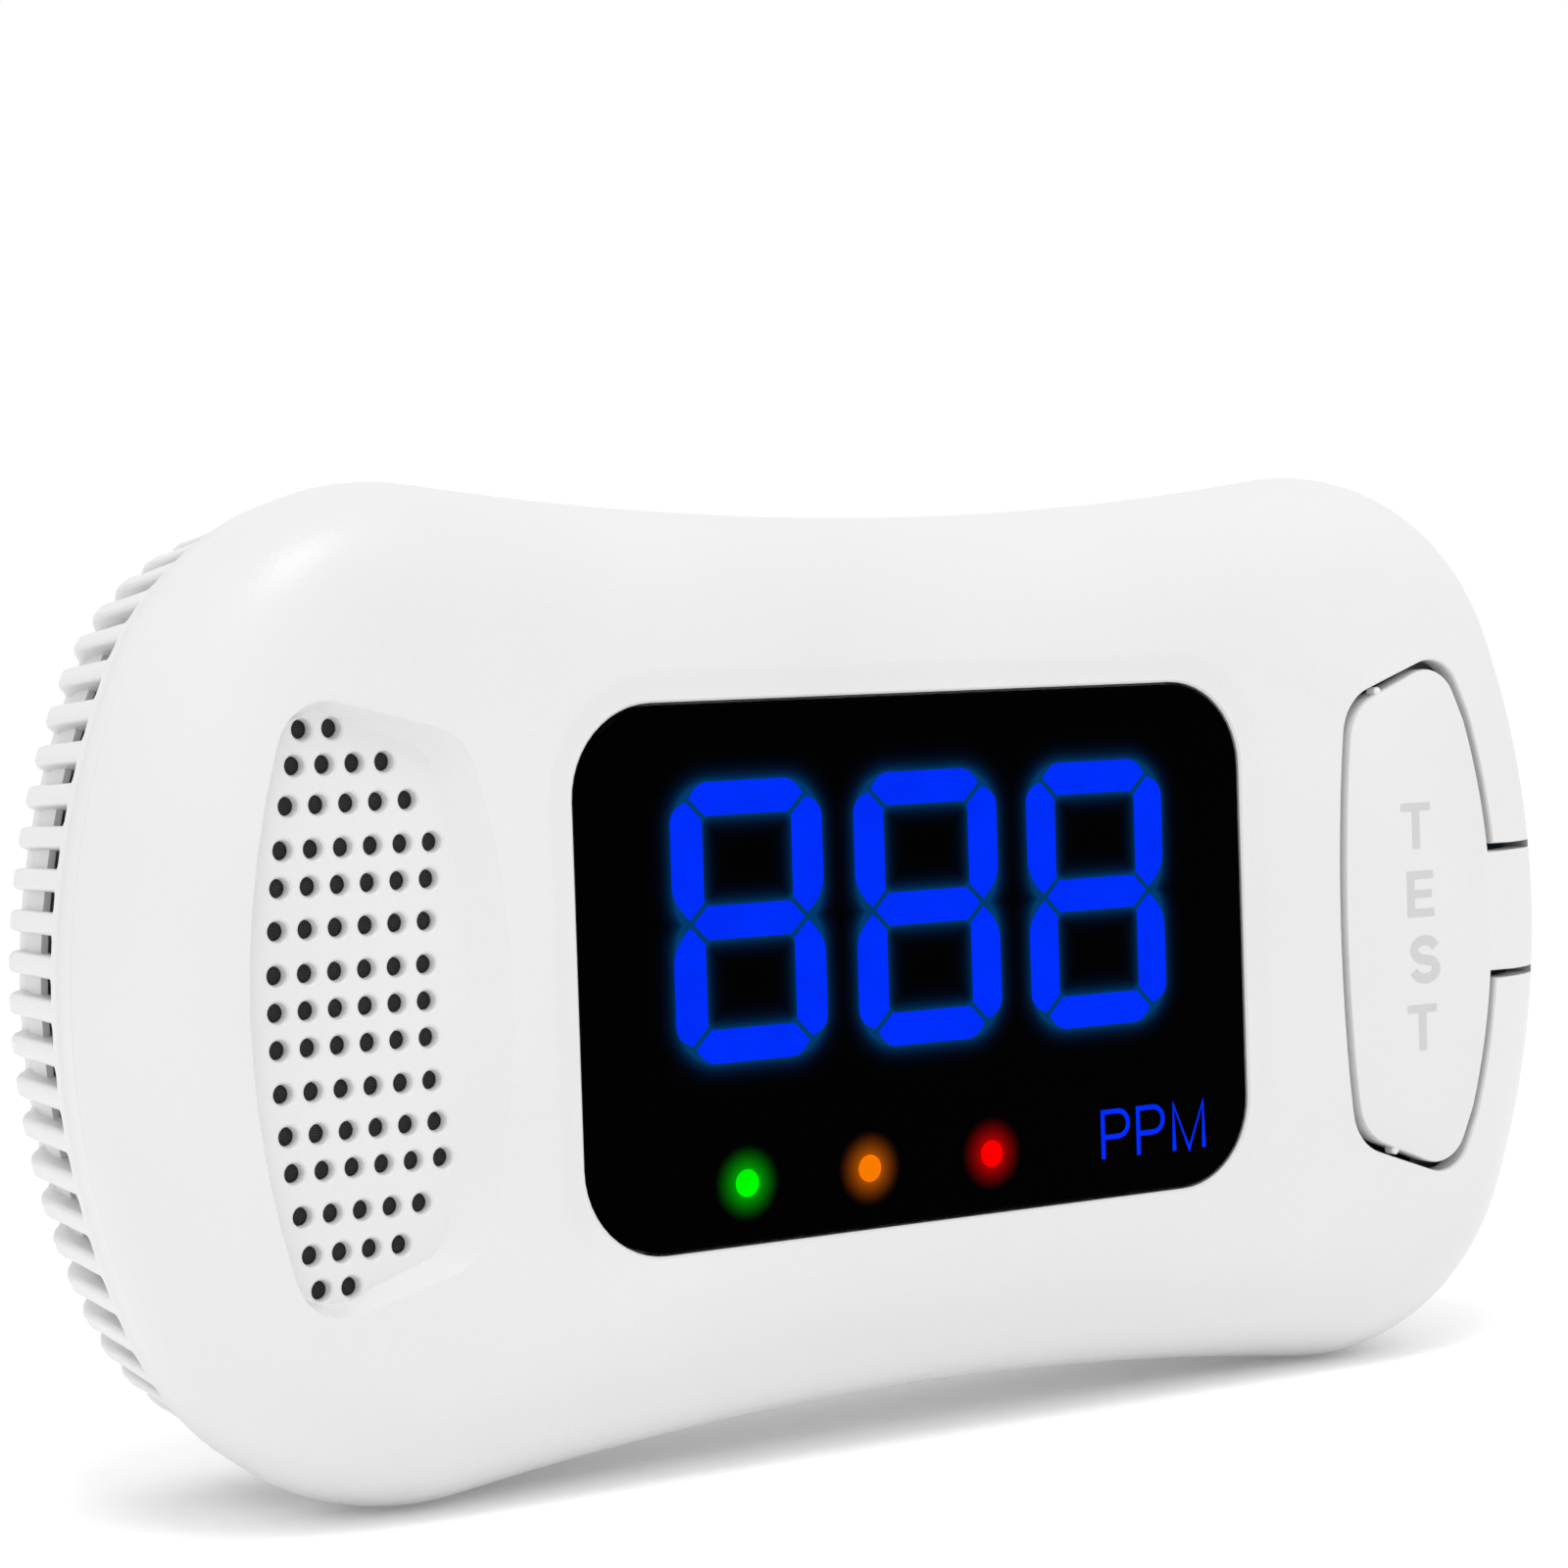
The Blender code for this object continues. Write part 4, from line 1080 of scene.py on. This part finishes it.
def battery_door(look):
    """The door: the shell's own skin, with its lip at the foot and a hinge barrel and pins at the top."""
    y, z = DOOR_AXIS[1:]
    door = place("door_panel", case_loft(rear_profile()[::-1]))
    hollow = box((-BEYOND, BEYOND), (10.0, DOOR_FRONT), (DOOR_LIP_Z, 20.0))
    carve(door, [
        ("INTERSECT", box((-DOOR_HALF, DOOR_HALF), (DOOR_LIP, BEYOND), (-BEYOND - 5, z))),
        ("DIFFERENCE", hollow),
        ("UNION", rod((-DOOR_HALF, DOOR_HALF), y, z, DEPTH - y - 0.01, 48)),
        ("UNION", rod((-HINGE_PIN_END, HINGE_PIN_END), y, z, HINGE_PIN)),
    ])
    piece(door, "battery_door", look, ["battery_door"])


# ---- Stage, light and camera ----


def stage():
    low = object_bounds()[0]
    floor_mesh = bmesh.new()
    bmesh.ops.create_grid(floor_mesh, x_segments=2, y_segments=2, size=6.0)
    data = bpy.data.meshes.new("floor")
    floor_mesh.to_mesh(data)
    floor_mesh.free()
    floor = bpy.data.objects.new("floor", data)
    floor.location = (0.0, 0.0, low.z - 0.0002)
    bpy.context.scene.collection.objects.link(floor)
    look, _, shader = new_material("floor_paper", (0.97, 0.97, 0.97), 0.9)
    shader.inputs["Specular IOR Level"].default_value = 0.0
    shader.inputs["Emission Color"].default_value = (1.0, 1.0, 1.0, 1.0)
    shader.inputs["Emission Strength"].default_value = 0.09
    data.materials.append(look)
    floor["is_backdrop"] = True


def area_light(name, place_at, aim, size, power):
    data = bpy.data.lights.new(name, "AREA")
    data.shape = "DISK"
    data.size = size
    data.energy = power
    light = bpy.data.objects.new(name, data)
    light.location = place_at
    light.rotation_euler = (Vector(aim) - Vector(place_at)).to_track_quat("-Z", "Y").to_euler()
    bpy.context.scene.collection.objects.link(light)


def lighting():
    scene = bpy.context.scene
    world = bpy.data.worlds.new("studio")
    world.use_nodes = True
    world.node_tree.nodes["Background"].inputs["Color"].default_value = (1.0, 1.0, 1.0, 1.0)
    world.node_tree.nodes["Background"].inputs["Strength"].default_value = 1.0
    scene.world = world
    scene.view_settings.view_transform = "Standard"
    centre = (0.0, -0.02, -0.02)
    area_light("key_light", (-0.22, -0.42, 1.1), centre, 0.45, 3.2)


def camera():
    """Looks at the front from its left and a little above mid-height, tipped slightly down and rolled."""
    data = bpy.data.cameras.new("camera")
    data.sensor_width = 36.0
    data.lens = 92.79
    data.clip_start = 0.01
    obj = bpy.data.objects.new("camera", data)
    azimuth, elevation, roll = math.radians(34.17), math.radians(-1.90), math.radians(-1.85)
    level = Vector((math.sin(azimuth), math.cos(azimuth), 0.0))
    ahead = level * math.cos(elevation) + Vector((0.0, 0.0, math.sin(elevation)))
    flat = Vector((math.cos(azimuth), -math.sin(azimuth), 0.0))
    over = flat.cross(ahead)
    right = flat * math.cos(roll) + over * math.sin(roll)
    up = over * math.cos(roll) - flat * math.sin(roll)
    axes = Matrix((right, up, -ahead)).transposed().to_4x4()
    stand = Vector((-0.19772, -0.30308, 0.00588))
    obj.matrix_world = Matrix.Translation(stand) @ axes
    bpy.context.scene.collection.objects.link(obj)
    bpy.context.scene.camera = obj


def cad_looks():
    """Better materials for the frame's own nodes that stay in sight."""
    nickel = metal("nickel_plate", (0.62, 0.61, 0.58), 0.28)
    black = moulded_plastic("black_moulding", (0.02, 0.02, 0.022), 0.42, shade=0.2)
    white = moulded_plastic("white_moulding", (0.7, 0.7, 0.69), 0.5)
    looks = {
        "lens_gasket": woven("gasket_foam", (0.03, 0.03, 0.03), 900.0),
        "dust_screen": woven("dust_mesh", (0.035, 0.035, 0.037)),
        "display_reflector": white,
        "main_pcb": circuit_board(),
        "piezo_disc": metal("brass_disc", (0.78, 0.58, 0.26), 0.32),
        "tact_switch_plunger": moulded_plastic("rubber_black", (0.03, 0.03, 0.03), 0.75, shade=0.2),
    }
    steel = ("co_sensor_can", "contact_plate", "contact_spring", "case_screw", "pcb_screw")
    blue = lit("resin_blue", (0.0, 0.05, 0.8), 0.4)
    for name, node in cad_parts.items():
        if name in looks:
            look = looks[name]
        elif name.startswith(steel):
            look = nickel
        elif name.startswith(("digit_resin", "unit_light")):
            look = blue
        elif name.startswith("aa_cell"):
            ends = sorted(vertex.co.x for vertex in node.data.vertices)
            flat_x, raised_x = (ends[-1], ends[0]) if name == "aa_cell_2" else (ends[0], ends[-1])
            look = cell_jacket(f"{name}_jacket", flat_x, raised_x)
        else:
            look = black
        node.data.materials.clear()
        node.data.materials.append(look)


camera()
white_abs = moulded_plastic("white_abs", (0.714, 0.714, 0.711), 0.38, specks=True)
letter_grey = moulded_plastic("letter_grey", (0.56, 0.56, 0.56), 0.5)
cad_looks()
front_cover(white_abs)
dust_screen(woven("dust_cloth", (0.03, 0.03, 0.032)))
test_button(white_abs, letter_grey)
lens(smoked_window())
lit_marks()
rear_housing(white_abs)
battery_door(white_abs)
stage()
lighting()
